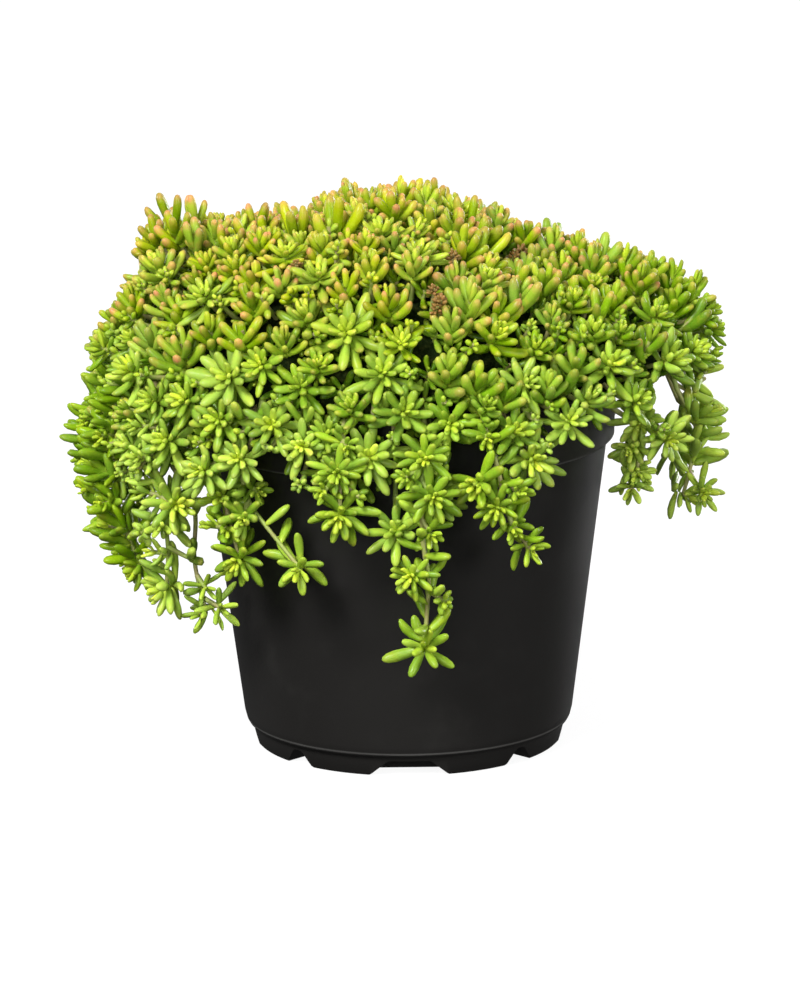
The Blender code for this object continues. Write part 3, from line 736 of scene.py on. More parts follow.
@dataclass(frozen=True)
class PlasticFinish:
    """The pot's black plastic: satin, faintly mottled with dust, painted highlights on its edges.
    """

    name: str = "nursery_pot_plastic"
    black: Triple = (0.0145, 0.0137, 0.0128)
    dusty: Triple = (0.026, 0.025, 0.023)
    # pale grey of the painted highlight lines along the pot's edges
    painted_highlight: Triple = (0.13, 0.128, 0.122)
    mottle_scale: float = 40
    grain_scale: float = 900
    dust_range: Pair = (0.52, 0.78)
    dust_share: float = 0.4
    # how strong the painted highlight lines are, varied by the mottle
    highlight_shares: Pair = (0.3, 0.9)
    roughness: Pair = (0.38, 0.52)
    # heights and half-widths of the painted highlight bands
    edges: tuple[Pair, ...] = (
        (122.7 * MM, 0.9 * MM), (9.6 * MM, 0.7 * MM), (145.6 * MM, 0.5 * MM))

    def highlight_bands(self, m: MaterialMaker) -> Wire:
        """Painted highlights: thin paler bands along the collar's edges and the foot's ledge.

        Args:
            m: the material's maker.

        Returns:
            A mask, 1 along each edge.
        """
        height = m.node("ShaderNodeSeparateXYZ", inputs={0: m.place}, output="Z")
        bands = [m.ramp(height, middle - reach, middle) - m.ramp(height, middle, middle + reach)
                 for middle, reach in self.edges]
        return sum(bands[1:], bands[0])

    def build(self) -> bpy.types.Material:
        """Make the material.

        Returns:
            The material.
        """
        m = MaterialMaker(self.name)
        mottle = m.noise(self.mottle_scale, 4, 0.6)
        grain = m.noise(self.grain_scale, 2)
        dust = m.ramp(mottle, *self.dust_range)
        body = m.mix(self.black, self.dusty, dust * self.dust_share)
        # painted highlight lines along the edges, varied by the mottle
        body = m.mix(body, self.painted_highlight, self.highlight_bands(m) * m.between(mottle, self.highlight_shares))
        m.shine(Base_Color=body, Specular_IOR_Level=0.3,
                Roughness=m.between(mottle, self.roughness), Normal=m.bump(grain, 0.1, 0.2 * MM))
        return m.material


@dataclass(frozen=True)
class SoilFinish:
    """The potting mix: dark peat with paler bark and grit."""

    name: str = "potting_mix"
    peat: Triple = (0.020, 0.013, 0.009)
    bark: Triple = (0.10, 0.06, 0.035)
    grit: Triple = (0.5, 0.47, 0.42)
    scale: float = 220
    bark_range: Pair = (0.48, 0.7)
    grit_range: Pair = (0.7, 0.74)

    def build(self) -> bpy.types.Material:
        """Make the material.

        Returns:
            The material.
        """
        m = MaterialMaker(self.name)
        crumbs = m.node("ShaderNodeTexVoronoi", inputs={"Vector": m.place, "Scale": self.scale})
        tint = m.noise(self.scale * 0.8, 3)
        body = m.mix(self.peat, self.bark, m.ramp(tint, *self.bark_range))
        specks = m.ramp(m.noise(self.scale * 1.7, 1), *self.grit_range)
        body = m.mix(body, self.grit, specks)
        m.shine(Base_Color=body, Roughness=0.92, Normal=m.bump(tint - crumbs, 0.9, 3 * MM))
        return m.material


@dataclass(frozen=True)
class Rod:
    """The room that a leaf or a stretch of stem takes: a line with a radius, its ends round."""

    start: Vector
    end: Vector
    radius: float


class Crowd:
    """The leaves and stems placed so far, as rods, so that the next find room."""

    no_owner = 0
    trail_owner = -1

    def __init__(self, capacity: int = 40000) -> None:
        """Make room for so many rods.

        Args:
            capacity: the most rods that it may hold.
        """
        self.starts = np.zeros((capacity, 3))
        self.ends = np.zeros((capacity, 3))
        self.middles = np.zeros((capacity, 3))
        self.radii = np.zeros(capacity)
        self.owners = np.zeros(capacity, dtype=int)
        self.count = 0
        self.near = np.zeros(0, dtype=int)

    def add(self, rod: Rod, owner: int) -> None:
        """Take the room of one rod.

        Args:
            rod: the rod.
            owner: the number of the shoot that may touch it, or no_owner.
        """
        self.starts[self.count] = rod.start
        self.ends[self.count] = rod.end
        self.middles[self.count] = (rod.start + rod.end) / 2
        self.radii[self.count] = rod.radius
        self.owners[self.count] = owner
        self.count += 1

    def look_round(self, centre: Vector, reach: float) -> None:
        """Keep the rods near a place at hand for the tests that follow."""
        apart = self.middles[:self.count] - np.array(centre)
        self.near = np.flatnonzero((apart * apart).sum(1) < reach * reach)

    def least_gap(self, rod: Rod, heart: int, since: int) -> float:
        """The smallest gap from a rod to those at hand and those placed since.

        Args:
            rod: the rod.
            heart: the owner number whose rods it may touch.
            since: how many rods there were when those at hand were picked.

        Returns:
            The gap in metres, below zero where rods overlap.
        """
        picked = np.concatenate([self.near, np.arange(since, self.count)])
        picked = picked[self.owners[picked] != heart]
        if not len(picked):
            return 1.0
        starts = self.starts[picked]
        u = np.array(rod.end) - np.array(rod.start)
        v = self.ends[picked] - starts
        w = np.array(rod.start) - starts
        a = max(u @ u, 1e-12)
        b = v @ u
        c = np.maximum((v * v).sum(1), 1e-12)
        d = w @ u
        e = (v * w).sum(1)
        s = np.clip((b * e - c * d) / np.maximum(a * c - b * b, 1e-18), 0, 1)
        t = np.clip((b * s + e) / c, 0, 1)
        s = np.clip((b * t - d) / a, 0, 1)
        apart = np.linalg.norm(w + s[:, None] * u - t[:, None] * v, axis=1)
        return float((apart - self.radii[picked]).min()) - rod.radius


@dataclass(frozen=True)
class LeafPlan:
    """A leaf that is wanted: its form, where it starts, which way it points and its size.

    Its lift is in degrees over the turned frame's own plane, and it stands so far around its axis
    in radians.
    """

    form: LeafForm
    start: Vector
    turn: Matrix
    lift: float
    around: float
    length: float
    girth: float
    youth: float = 0.0


@dataclass
class Leaf:
    """One leaf, where it stands and what tints it."""

    form: LeafForm
    bend: int
    matrix: Matrix
    youth: float
    blush: float
    tone: float
    pale: float
    shade: float
    sun: float
    dry: float


@dataclass
class Stem:
    """A stem's line and its thickness at both ends."""

    points: list[Vector]
    radii: Pair


@dataclass
class Growth:
    """What has grown for one node: its leaves and stems."""

    leaves: list[Leaf] = field(default_factory=list)
    stems: list[Stem] = field(default_factory=list)


@dataclass(frozen=True)
class Mood:
    """How a shoot's place on the plant tints its leaves."""

    blush: float
    pale: float
    shade: float
    sun: float
    dry: float = 0.0


@dataclass
class PotShape:
    """The pot's outline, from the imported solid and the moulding's own sizes."""

    height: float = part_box("pot")[1].z
    collar_radius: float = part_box("pot")[1].x
    foot_radius: float = 60.7 * MM
    step_radius: float = 61.7 * MM
    step_height: float = 6.9 * MM
    wall_foot_radius: float = 64.8 * MM
    wall_foot_height: float = 12.6 * MM
    wall_top_radius: float = 79.1 * MM
    collar_foot_height: float = 122.4 * MM
    collar_foot_radius: float = 81.8 * MM
    wall: float = 1.3 * MM
    floor_underside: float = 1.5 * MM
    floor_top: float = 3.0 * MM
    feet_inner_radius: float = 46 * MM
    feet_top: float = 9 * MM
    notch_height: float = 6.3 * MM
    wide_notch: Pair = (31 * MM, 16.5 * MM)
    narrow_notch: Pair = (14 * MM, 4 * MM)
    notch_count: int = 8
    notch_rounding: float = 1.2 * MM
    foot_edge: float = 0.8 * MM
    step_curve: tuple[Pair, ...] = (
        (0.4 * MM, 0.9 * MM), (1.7 * MM, 1.5 * MM), (2.3 * MM, 2.6 * MM))
    drain_radius: float = 4 * MM
    drain_circle: float = 55 * MM
    drain_sides: int = 24
    lip: float = 0.5 * MM
    lip_height: float = 2.4 * MM
    sides: int = 160
    edge_radius: float = 0.45 * MM

    def radius_at(self, height: float) -> float:
        """The pot's outside at a height, or nothing above its rim.

        Args:
            height: the height above the floor.

        Returns:
            The radius, 0 above the rim.
        """
        if height > self.height:
            return 0
        low, high = self.wall_foot_height, self.collar_foot_height
        if height > high:
            return self.collar_radius + self.lip
        share = (height - low) / (high - low)
        return self.wall_foot_radius + share * (self.wall_top_radius - self.wall_foot_radius)

    def profile(self) -> list[Pair]:
        """The closed outline to turn, as radii and heights.

        Returns:
            The outline's corners in order.
        """
        inner_foot = self.wall_foot_radius - self.wall
        inner_top = self.wall_top_radius - self.wall
        top = self.height
        rim = self.collar_radius
        return [
            (0, self.floor_underside), (self.feet_inner_radius - 1.5 * MM, self.floor_underside),
            (self.feet_inner_radius, 0), (self.foot_radius - self.foot_edge, 0),
            (self.foot_radius, self.foot_edge), (self.step_radius, self.step_height),
            *((self.step_radius + out, self.step_height + up) for out, up in self.step_curve),
            (self.wall_foot_radius, self.wall_foot_height),
            (self.wall_top_radius - 0.15 * MM, self.collar_foot_height - 1 * MM),
            (self.wall_top_radius, self.collar_foot_height),
            (self.collar_foot_radius - 0.6 * MM, self.collar_foot_height),
            (self.collar_foot_radius, self.collar_foot_height + 0.6 * MM),
            (rim - 0.1 * MM, top - self.lip_height - 0.4 * MM),
            (rim + self.lip, top - self.lip_height),
            (rim + self.lip, top - 0.5 * MM), (rim, top), (rim - self.wall, top),
            (self.collar_foot_radius - self.wall, self.collar_foot_height + 2 * MM),
            (inner_top, self.collar_foot_height - 1 * MM), (inner_foot, self.wall_foot_height),
            (inner_foot - 1.4 * MM, self.feet_top),
            (self.feet_inner_radius + 3 * MM, self.feet_top),
            (self.feet_inner_radius + 0.5 * MM, self.floor_top), (0, self.floor_top),
        ]


@dataclass
class Pot:
    """The moulded nursery pot, with its collar, stepped foot, notches and drain holes."""

    shape: PotShape = field(default_factory=PotShape)
    finish: PlasticFinish = field(default_factory=PlasticFinish)
    sharp_angle: float = math.radians(38)

    def body(self) -> bpy.types.Object:
        """The pot's wall, turned about its axis.

        Returns:
            The uncut pot.
        """
        bm = bmesh.new()
        verts = [bm.verts.new((radius, 0, height)) for radius, height in self.shape.profile()]
        edges = [bm.edges.new((a, b)) for a, b in zip(verts, verts[1:] + verts[:1])
                 if a.co.x > 0 or b.co.x > 0]
        bmesh.ops.spin(bm, geom=verts + edges, axis=UP, cent=(0, 0, 0), angle=math.tau,
                       steps=self.shape.sides, use_merge=True)
        bmesh.ops.remove_doubles(bm, verts=bm.verts, dist=0.00001)
        bmesh.ops.recalc_face_normals(bm, faces=bm.faces)
        return show("pot_body", as_mesh("pot_body", bm))

    def notch(self, widths: Pair, azimuth: float) -> bpy.types.Object:
        """A wedge with rounded shoulders that cuts one notch between two feet.

        Args:
            widths: the notch's width at the floor and at its top.
            azimuth: where it stands round the foot.

        Returns:
            The wedge.
        """
        shape = self.shape
        low, high = widths
        below = 1 * MM
        slope = (low - high) / 2 / shape.notch_height
        outline = ((-low / 2 - slope * below, -below), (low / 2 + slope * below, -below),
                   (high / 2, shape.notch_height), (-high / 2, shape.notch_height))
        start = shape.feet_inner_radius + 2 * MM
        bm = bmesh.new()
        face = bm.faces.new([bm.verts.new((start, across, up)) for across, up in outline])
        grown = bmesh.ops.extrude_face_region(bm, geom=[face])
        moved = [v for v in grown["geom"] if isinstance(v, bmesh.types.BMVert)]
        bmesh.ops.translate(bm, verts=moved, vec=(shape.collar_radius - start, 0, 0))
        shoulders = [edge for edge in bm.edges
                     if all(abs(v.co.z - shape.notch_height) < below / 2 for v in edge.verts)
                     and abs(edge.verts[0].co.x - edge.verts[1].co.x) > below]
        bmesh.ops.bevel(bm, geom=shoulders, offset=shape.notch_rounding, affect="EDGES",
                        segments=3, profile=0.5, material=-1)
        bmesh.ops.recalc_face_normals(bm, faces=bm.faces)
        bmesh.ops.rotate(bm, verts=bm.verts, cent=(0, 0, 0),
                         matrix=Matrix.Rotation(azimuth, 3, "Z"))
        return show("pot_notch", as_mesh("pot_notch", bm))

    def drain(self, azimuth: float) -> bpy.types.Object:
        """A peg that cuts one drain hole.

        Args:
            azimuth: where it stands round the foot.

        Returns:
            The peg.
        """
        shape = self.shape
        bm = bmesh.new()
        centre = Vector((shape.drain_circle * math.cos(azimuth),
                         shape.drain_circle * math.sin(azimuth), shape.feet_top))
        bmesh.ops.create_cone(bm, cap_ends=True, segments=shape.drain_sides,
                              radius1=shape.drain_radius, radius2=shape.drain_radius,
                              depth=shape.feet_top * 1.4, matrix=Matrix.Translation(centre))
        return show("pot_drain", as_mesh("pot_drain", bm))

    def build(self) -> bpy.types.Object:
        """Cut the feet, round the edges and dress the pot.

        Returns:
            The finished pot.
        """
        shape = self.shape
        pot = self.body()
        cutters = bpy.data.collections.new("pot_cutters")
        bpy.context.scene.collection.children.link(cutters)
        for index in range(shape.notch_count):
            azimuth = math.tau * index / shape.notch_count
            widths = shape.narrow_notch if index % 2 else shape.wide_notch
            tools = [self.notch(widths, azimuth)]
            if index % 2 == 0:
                tools.append(self.drain(azimuth))
            for tool in tools:
                bpy.context.scene.collection.objects.unlink(tool)
                cutters.objects.link(tool)
        cut = pot.modifiers.new("cut", "BOOLEAN")
        cut.operand_type = "COLLECTION"
        cut.collection = cutters
        cut.solver = "EXACT"
        rounding = pot.modifiers.new("rounding", "BEVEL")
        rounding.width = shape.edge_radius
        rounding.segments = 2
        rounding.limit_method = "ANGLE"
        rounding.angle_limit = self.sharp_angle
        mesh = applied(pot)
        for tool in list(cutters.objects):
            bpy.data.objects.remove(tool, do_unlink=True)
        bpy.data.collections.remove(cutters)
        mesh.name = "nursery_pot"
        mesh.shade_smooth()
        mesh.set_sharp_from_angle(angle=self.sharp_angle)
        mesh.materials.clear()
        mesh.materials.append(self.finish.build())
        return show("nursery_pot", mesh)


class LeafPress:
    """The leaf meshes that every leaf is stamped from."""

    def __init__(self) -> None:
        """Press every leaf form in each of its bends."""
        self.meshes: dict[tuple[LeafForm, int], bpy.types.Mesh] = {}
        self.along: dict[tuple[LeafForm, int], np.ndarray] = {}
        for form, shape in LEAF_SHAPES.items():
            for index, bend in enumerate(shape.bends):
                self.press(form, index, shape, bend)

    def press(self, form: LeafForm, index: int, shape: LeafShape, bend: float) -> None:
        """Turn a leaf's outline about its length, then flatten and bend it.

        Args:
            form: the leaf's form.
            index: which bend it has.
            shape: its outline.
            bend: how far it curves inwards.
        """
        bm = bmesh.new()
        verts = [bm.verts.new((width / 2, 0, along)) for along, width in shape.outline]
        edges = [bm.edges.new(pair) for pair in zip(verts, verts[1:])]
        bmesh.ops.spin(bm, geom=verts + edges, axis=UP, cent=(0, 0, 0), angle=math.tau,
                       steps=shape.sides, use_merge=True)
        bmesh.ops.remove_doubles(bm, verts=bm.verts, dist=0.0001)
        bmesh.ops.recalc_face_normals(bm, faces=bm.faces)
        bmesh.ops.scale(bm, verts=bm.verts, vec=(shape.flatness, 1, 1))
        for vert in bm.verts:
            vert.co.x -= bend * 4 * vert.co.z * (1 - vert.co.z)
        mesh = as_mesh(f"leaf_{form.value}_{index}", bm)
        self.meshes[form, index] = mesh
        self.along[form, index] = np.array([vert.co.z for vert in mesh.vertices])


class Gardener:
    """Grows shoots and keeps their leaves from passing through each other."""

    tries = ((0, 0, 1.0), (9, 0, 1.0), (-9, 0, 1.0), (0, 13, 1.0), (0, -13, 1.0), (18, 0, 0.95),
             (12, 14, 0.9), (12, -14, 0.9), (28, 0, 0.85), (0, 0, 0.8), (20, 20, 0.75),
             (20, -20, 0.75), (36, 0, 0.7))
    pressing = 0.35 * MM
    free_root = 0.42
    least_rod = 0.6
    look = 24 * MM
    heart_radius = 2.0 * MM
    pot_room = 0.3 * MM
    core_from = 150 * MM
    lift_limits = (-25, 89)
    lift_curve = 1.15
    lift_sway = 7
    turn_sway = 0.14
    shrink_curve = 0.9
    span_curve = 1.2
    length_spread = (0.86, 1.1)
    girth_spread = (0.92, 1.08)
    freshness_spread = (0.35, 1.0)
    youth_from = 0.45
    youth_over = 0.5
    stem_room = 1.0 * MM
    stem_radii = (1.1 * MM, 0.8 * MM)
    arch_pull = 0.45
    youth_pales = 0.7

    def __init__(self, mound: Mound, pot: PotShape, clearings: Clearings,
                 rng: random.Random) -> None:
        """Start with nothing grown.

        Args:
            mound: the mound's form.
            pot: the pot's form.
            clearings: what stays free of leaves.
            rng: the source of chance.
        """
        self.mound = mound
        self.pot = pot
        self.clearings = clearings
        self.rng = rng
        self.crowd = Crowd()
        self.owner = 0

    def outside_pot(self, rod: Rod) -> bool:
        """Whether a rod stays outside the pot.

        Args:
            rod: the rod.

        Returns:
            True where it is clear of the pot.
        """
        for share in (0.2, 0.6, 1):
            point = rod.start.lerp(rod.end, share)
            room = self.pot.radius_at(point.z - rod.radius) + rod.radius + self.pot_room
            if math.hypot(point.x, point.y) < room:
                return False
        return True

    def shoot(self, growth: Growth, habit: Habit, centre: Vector, axis: Vector, size: float,
              mood: Mood, root: Vector | None = None, core_depth: float = 21 * MM) -> int:
        """Grow one shoot.

        Args:
            growth: where its leaves and stem are kept.
            habit: how its leaves stand.
            centre: where its heart is.
            axis: the way it points.
            size: its size against the habit's own.
            mood: how its place tints it.
            root: where its stem comes from.
            core_depth: how deep under the tips no leaf may reach.

        Returns:
            How many leaves found room.
        """
        rng = self.rng
        mood = replace(mood, blush=mood.blush * habit.blushing)
        freshness = habit.freshness * rng.uniform(*self.freshness_spread)
        self.owner += 1
        heart = self.owner
        count = self.crowd.count
        self.crowd.look_round(centre, self.look)
        turn = axis.to_track_quat("Z", "Y").to_matrix() @ Matrix.Rotation(
            rng.uniform(0, math.tau), 3, "Z")
        grown = 0
        for index in range(habit.leaves):
            share = index / (habit.leaves - 1)
            rise = share ** habit.gathering
            lift = habit.lifts[0] + (habit.lifts[1] - habit.lifts[0]) * rise ** self.lift_curve
            lift += rng.uniform(-self.lift_sway, self.lift_sway) * (1 - share)
            shrink = (1 - share) ** self.shrink_curve
            length = habit.lengths[1] + (habit.lengths[0] - habit.lengths[1]) * shrink
            length *= size * rng.uniform(*self.length_spread)
            slim = habit.slimness[0] + (habit.slimness[1] - habit.slimness[0]) * share
            girth = length * slim * rng.uniform(*self.girth_spread)
            around = GOLDEN_ANGLE * index + rng.uniform(-self.turn_sway, self.turn_sway)
            start = centre - axis * habit.span * size * (1 - share) ** self.span_curve
            young = share > habit.young_from
            form = LeafForm.YOUNG if young else habit.form
            youth = max((share - self.youth_from) / self.youth_over, 0) * freshness
            plan = LeafPlan(form, start, turn, lift, around, length, girth, youth)
            grown += self.leaf(growth, plan, mood, heart, count, core_depth)
        if root is not None:
            self.crowd.add(Rod(root, centre, self.stem_room), heart)
            growth.stems.append(Stem(self.arch(root, centre, axis), self.stem_radii))
        inside = Rod(centre - axis * habit.span, centre, self.heart_radius * size)
        self.crowd.add(inside, heart)
        return grown

    def leaf(self, growth: Growth, plan: LeafPlan, mood: Mood, heart: int, since: int,
             core_depth: float) -> bool:
        """Place one leaf where it has room, or leave it out.

        Args:
            growth: where the leaf is kept.
            plan: the leaf that is wanted.
            mood: how its place tints it.
            heart: the number of its shoot.
            since: how many rods there were when its shoot began.
            core_depth: how deep under the tips no leaf may reach.

        Returns:
            Whether it found room.
        """
        radius = plan.girth * 0.5 * LEAF_SHAPES[plan.form].flatness
        lowest, highest = self.lift_limits
        for more_lift, more_turn, share in self.tries:
            up = math.radians(min(max(plan.lift + more_lift, lowest), highest))
            side = plan.around + math.radians(more_turn)
            ahead = plan.turn @ Vector((math.cos(side) * math.cos(up),
                                        math.sin(side) * math.cos(up), math.sin(up)))
            long = plan.length * share
            first = plan.start + ahead * long * self.free_root
            last = plan.start + ahead * max(long - radius, long * self.least_rod)
            if self.mound.level(last, core_depth) < 0 and last.z > self.core_from:
                continue
            rod = Rod(first, last, radius)
            if not self.outside_pot(rod):
                continue
            if self.clearings.stops_leaf((first + last) / 2, last + ahead * radius):
                continue
            if self.crowd.least_gap(rod, heart, since) < -self.pressing:
                continue
            young = plan.form is LeafForm.YOUNG
            self.crowd.add(rod, heart if young else self.crowd.no_owner)
            inner = plan.turn @ Vector((-math.cos(side) * math.sin(up),
                                        -math.sin(side) * math.sin(up), math.cos(up)))
            growth.leaves.append(self.tinted(plan, ahead, inner, long, mood))
            return True
        return False

    def tinted(self, plan: LeafPlan, ahead: Vector, inner: Vector, length: float,
               mood: Mood) -> Leaf:
        """A leaf with its place as a matrix and its tints drawn.

        Args:
            plan: the leaf that was wanted.
            ahead: the way it points.
            inner: the way its upper face looks.
            length: its length where it stands.
            mood: how its place tints it.

        Returns:
            The leaf.
        """
        rng = self.rng
        across = ahead.cross(inner)
        matrix = Matrix((inner * plan.girth, across * plan.girth,
                         ahead * length)).transposed().to_4x4()
        matrix.translation = plan.start
        bend = rng.randrange(len(LEAF_SHAPES[plan.form].bends))
        blush = share_of(mood.blush * rng.uniform(0.5, 1.5), 0, 1)
        blush *= 1 - plan.youth * self.youth_pales
        return Leaf(plan.form, bend, matrix, min(plan.youth * rng.uniform(0.8, 1.1), 1), blush,
                    rng.random(), share_of(mood.pale + rng.uniform(-0.15, 0.15), 0, 1),
                    mood.shade * rng.uniform(0.7, 1), mood.sun * rng.uniform(0.5, 1), mood.dry)

    def arch(self, root: Vector, tip: Vector, axis: Vector) -> list[Vector]:
        """A shoot's line: out of its root, bending into the way it points.

        Args:
            root: where the line starts.
            tip: where it ends.
            axis: the way it points there.

        Returns:
            The line's points.
        """
        pull = (tip - root).length * self.arch_pull
        bend = tip - axis * pull
        return [root.lerp(bend, t).lerp(bend.lerp(tip, t), t) for t in (0, 0.25, 0.5, 0.75, 1)]


@dataclass
class Clump:
    """One wedge of the mound, or its round middle."""

    name: str
    inner: float
    outer: float | None
    start: float
    end: float
    growth: Growth = field(default_factory=Growth)
    gap: float = 0.5 * MM
    top_steps: int = 9
    round_spans: int = 16
    wedge_spans: int = 8
    knots: float = 140
    knot_height: float = 2.5 * MM

    def holds(self, point: Vector) -> bool:
        """Whether a point of the mound belongs to this clump.

        Args:
            point: the point in metres.

        Returns:
            True where it does.
        """
        flat = math.hypot(point.x, point.y)
        in_ring = self.inner <= flat < (self.outer or math.inf)
        return in_ring and self.start <= bearing(point) < self.end

    def understory(self, mound: Mound, depth: float, foot: float) -> bpy.types.Mesh:
        """The tangle inside the clump, as a wedge under its leaves that its finish paints near
        black as shade.

        Args:
            mound: the mound's form.
            depth: how far under the leaf tips it stays.
            foot: the height of its underside.

        Returns:
            The closed wedge.
        """
        spans = self.wedge_spans if self.inner else self.round_spans
        trim = self.gap / self.inner if self.inner else 0.0
        around = self.top_steps + 2
        bm = bmesh.new()
        bmesh.ops.create_grid(bm, x_segments=spans, y_segments=around, size=0.5)
        for vert in bm.verts:
            share = vert.co.x + 0.5
            azimuth = self.start + trim + (self.end - self.start - 2 * trim) * share
            place = round((vert.co.y + 0.5) * around)
            vert.co = self.section_point(mound, depth, foot, azimuth, place)
        bmesh.ops.remove_doubles(bm, verts=bm.verts, dist=0.00005)
        bmesh.ops.holes_fill(bm, edges=[edge for edge in bm.edges if edge.is_boundary])
        bmesh.ops.recalc_face_normals(bm, faces=bm.faces)
        return as_mesh(self.name + "_understory", bm)

    def section_point(self, mound: Mound, depth: float, foot: float, azimuth: float,
                      place: int) -> Vector:
        """A point of the wedge's section: its foot inside, its foot outside, then over its top.

        Args:
            mound: the mound's form.
            depth: how far under the leaf tips it stays.
            foot: the height of its underside.
            azimuth: the section's direction.
            place: the point's number along the section.

        Returns:
            The point.
        """
        low_radius = self.inner + self.gap if self.inner else 0.0
        ray = Vector((math.cos(azimuth), math.sin(azimuth), 0))
        if place in (0, self.top_steps + 2):
            return ray * low_radius + UP * foot
        start = mound.climb_at_height(azimuth, foot, depth)
        if self.outer:
            start = mound.climb_at_radius(azimuth, self.outer - self.gap, depth)
        end = mound.climb_at_radius(azimuth, low_radius, depth)
        climb = start + (end - start) * max(place - 2, 0) / (self.top_steps - 1)
        point = mound.point(azimuth, climb, depth)
        if place == 1:
            return Vector((point.x, point.y, foot))
        roughness = noise.noise(point * self.knots) * self.knot_height
        return point + mound.normal(point) * roughness


@dataclass(frozen=True)
class Trail:
    """A trailing stem: its route in millimetres from the rim to its tip, and how it is clothed.

    The shoots seen on it are given as their pixels in the photograph, their sizes and their habits.
    """

    route: tuple[Triple, ...]
    spacing: float = 13 * MM
    pale: float = 0.7
    side: Habit = SPRAY
    side_size: float = 0.8
    tip: Habit = STAR
    tip_size: float = 0.9
    seen: tuple[tuple[float, float, float, Habit], ...] = ()
    leaf_every: int = 1
    ranks: tuple[float, ...] = ()
    shade: float = 0.0
    sun: float = 0.2
    droop: float = 0.5
    spur: tuple[Triple, ...] = ()


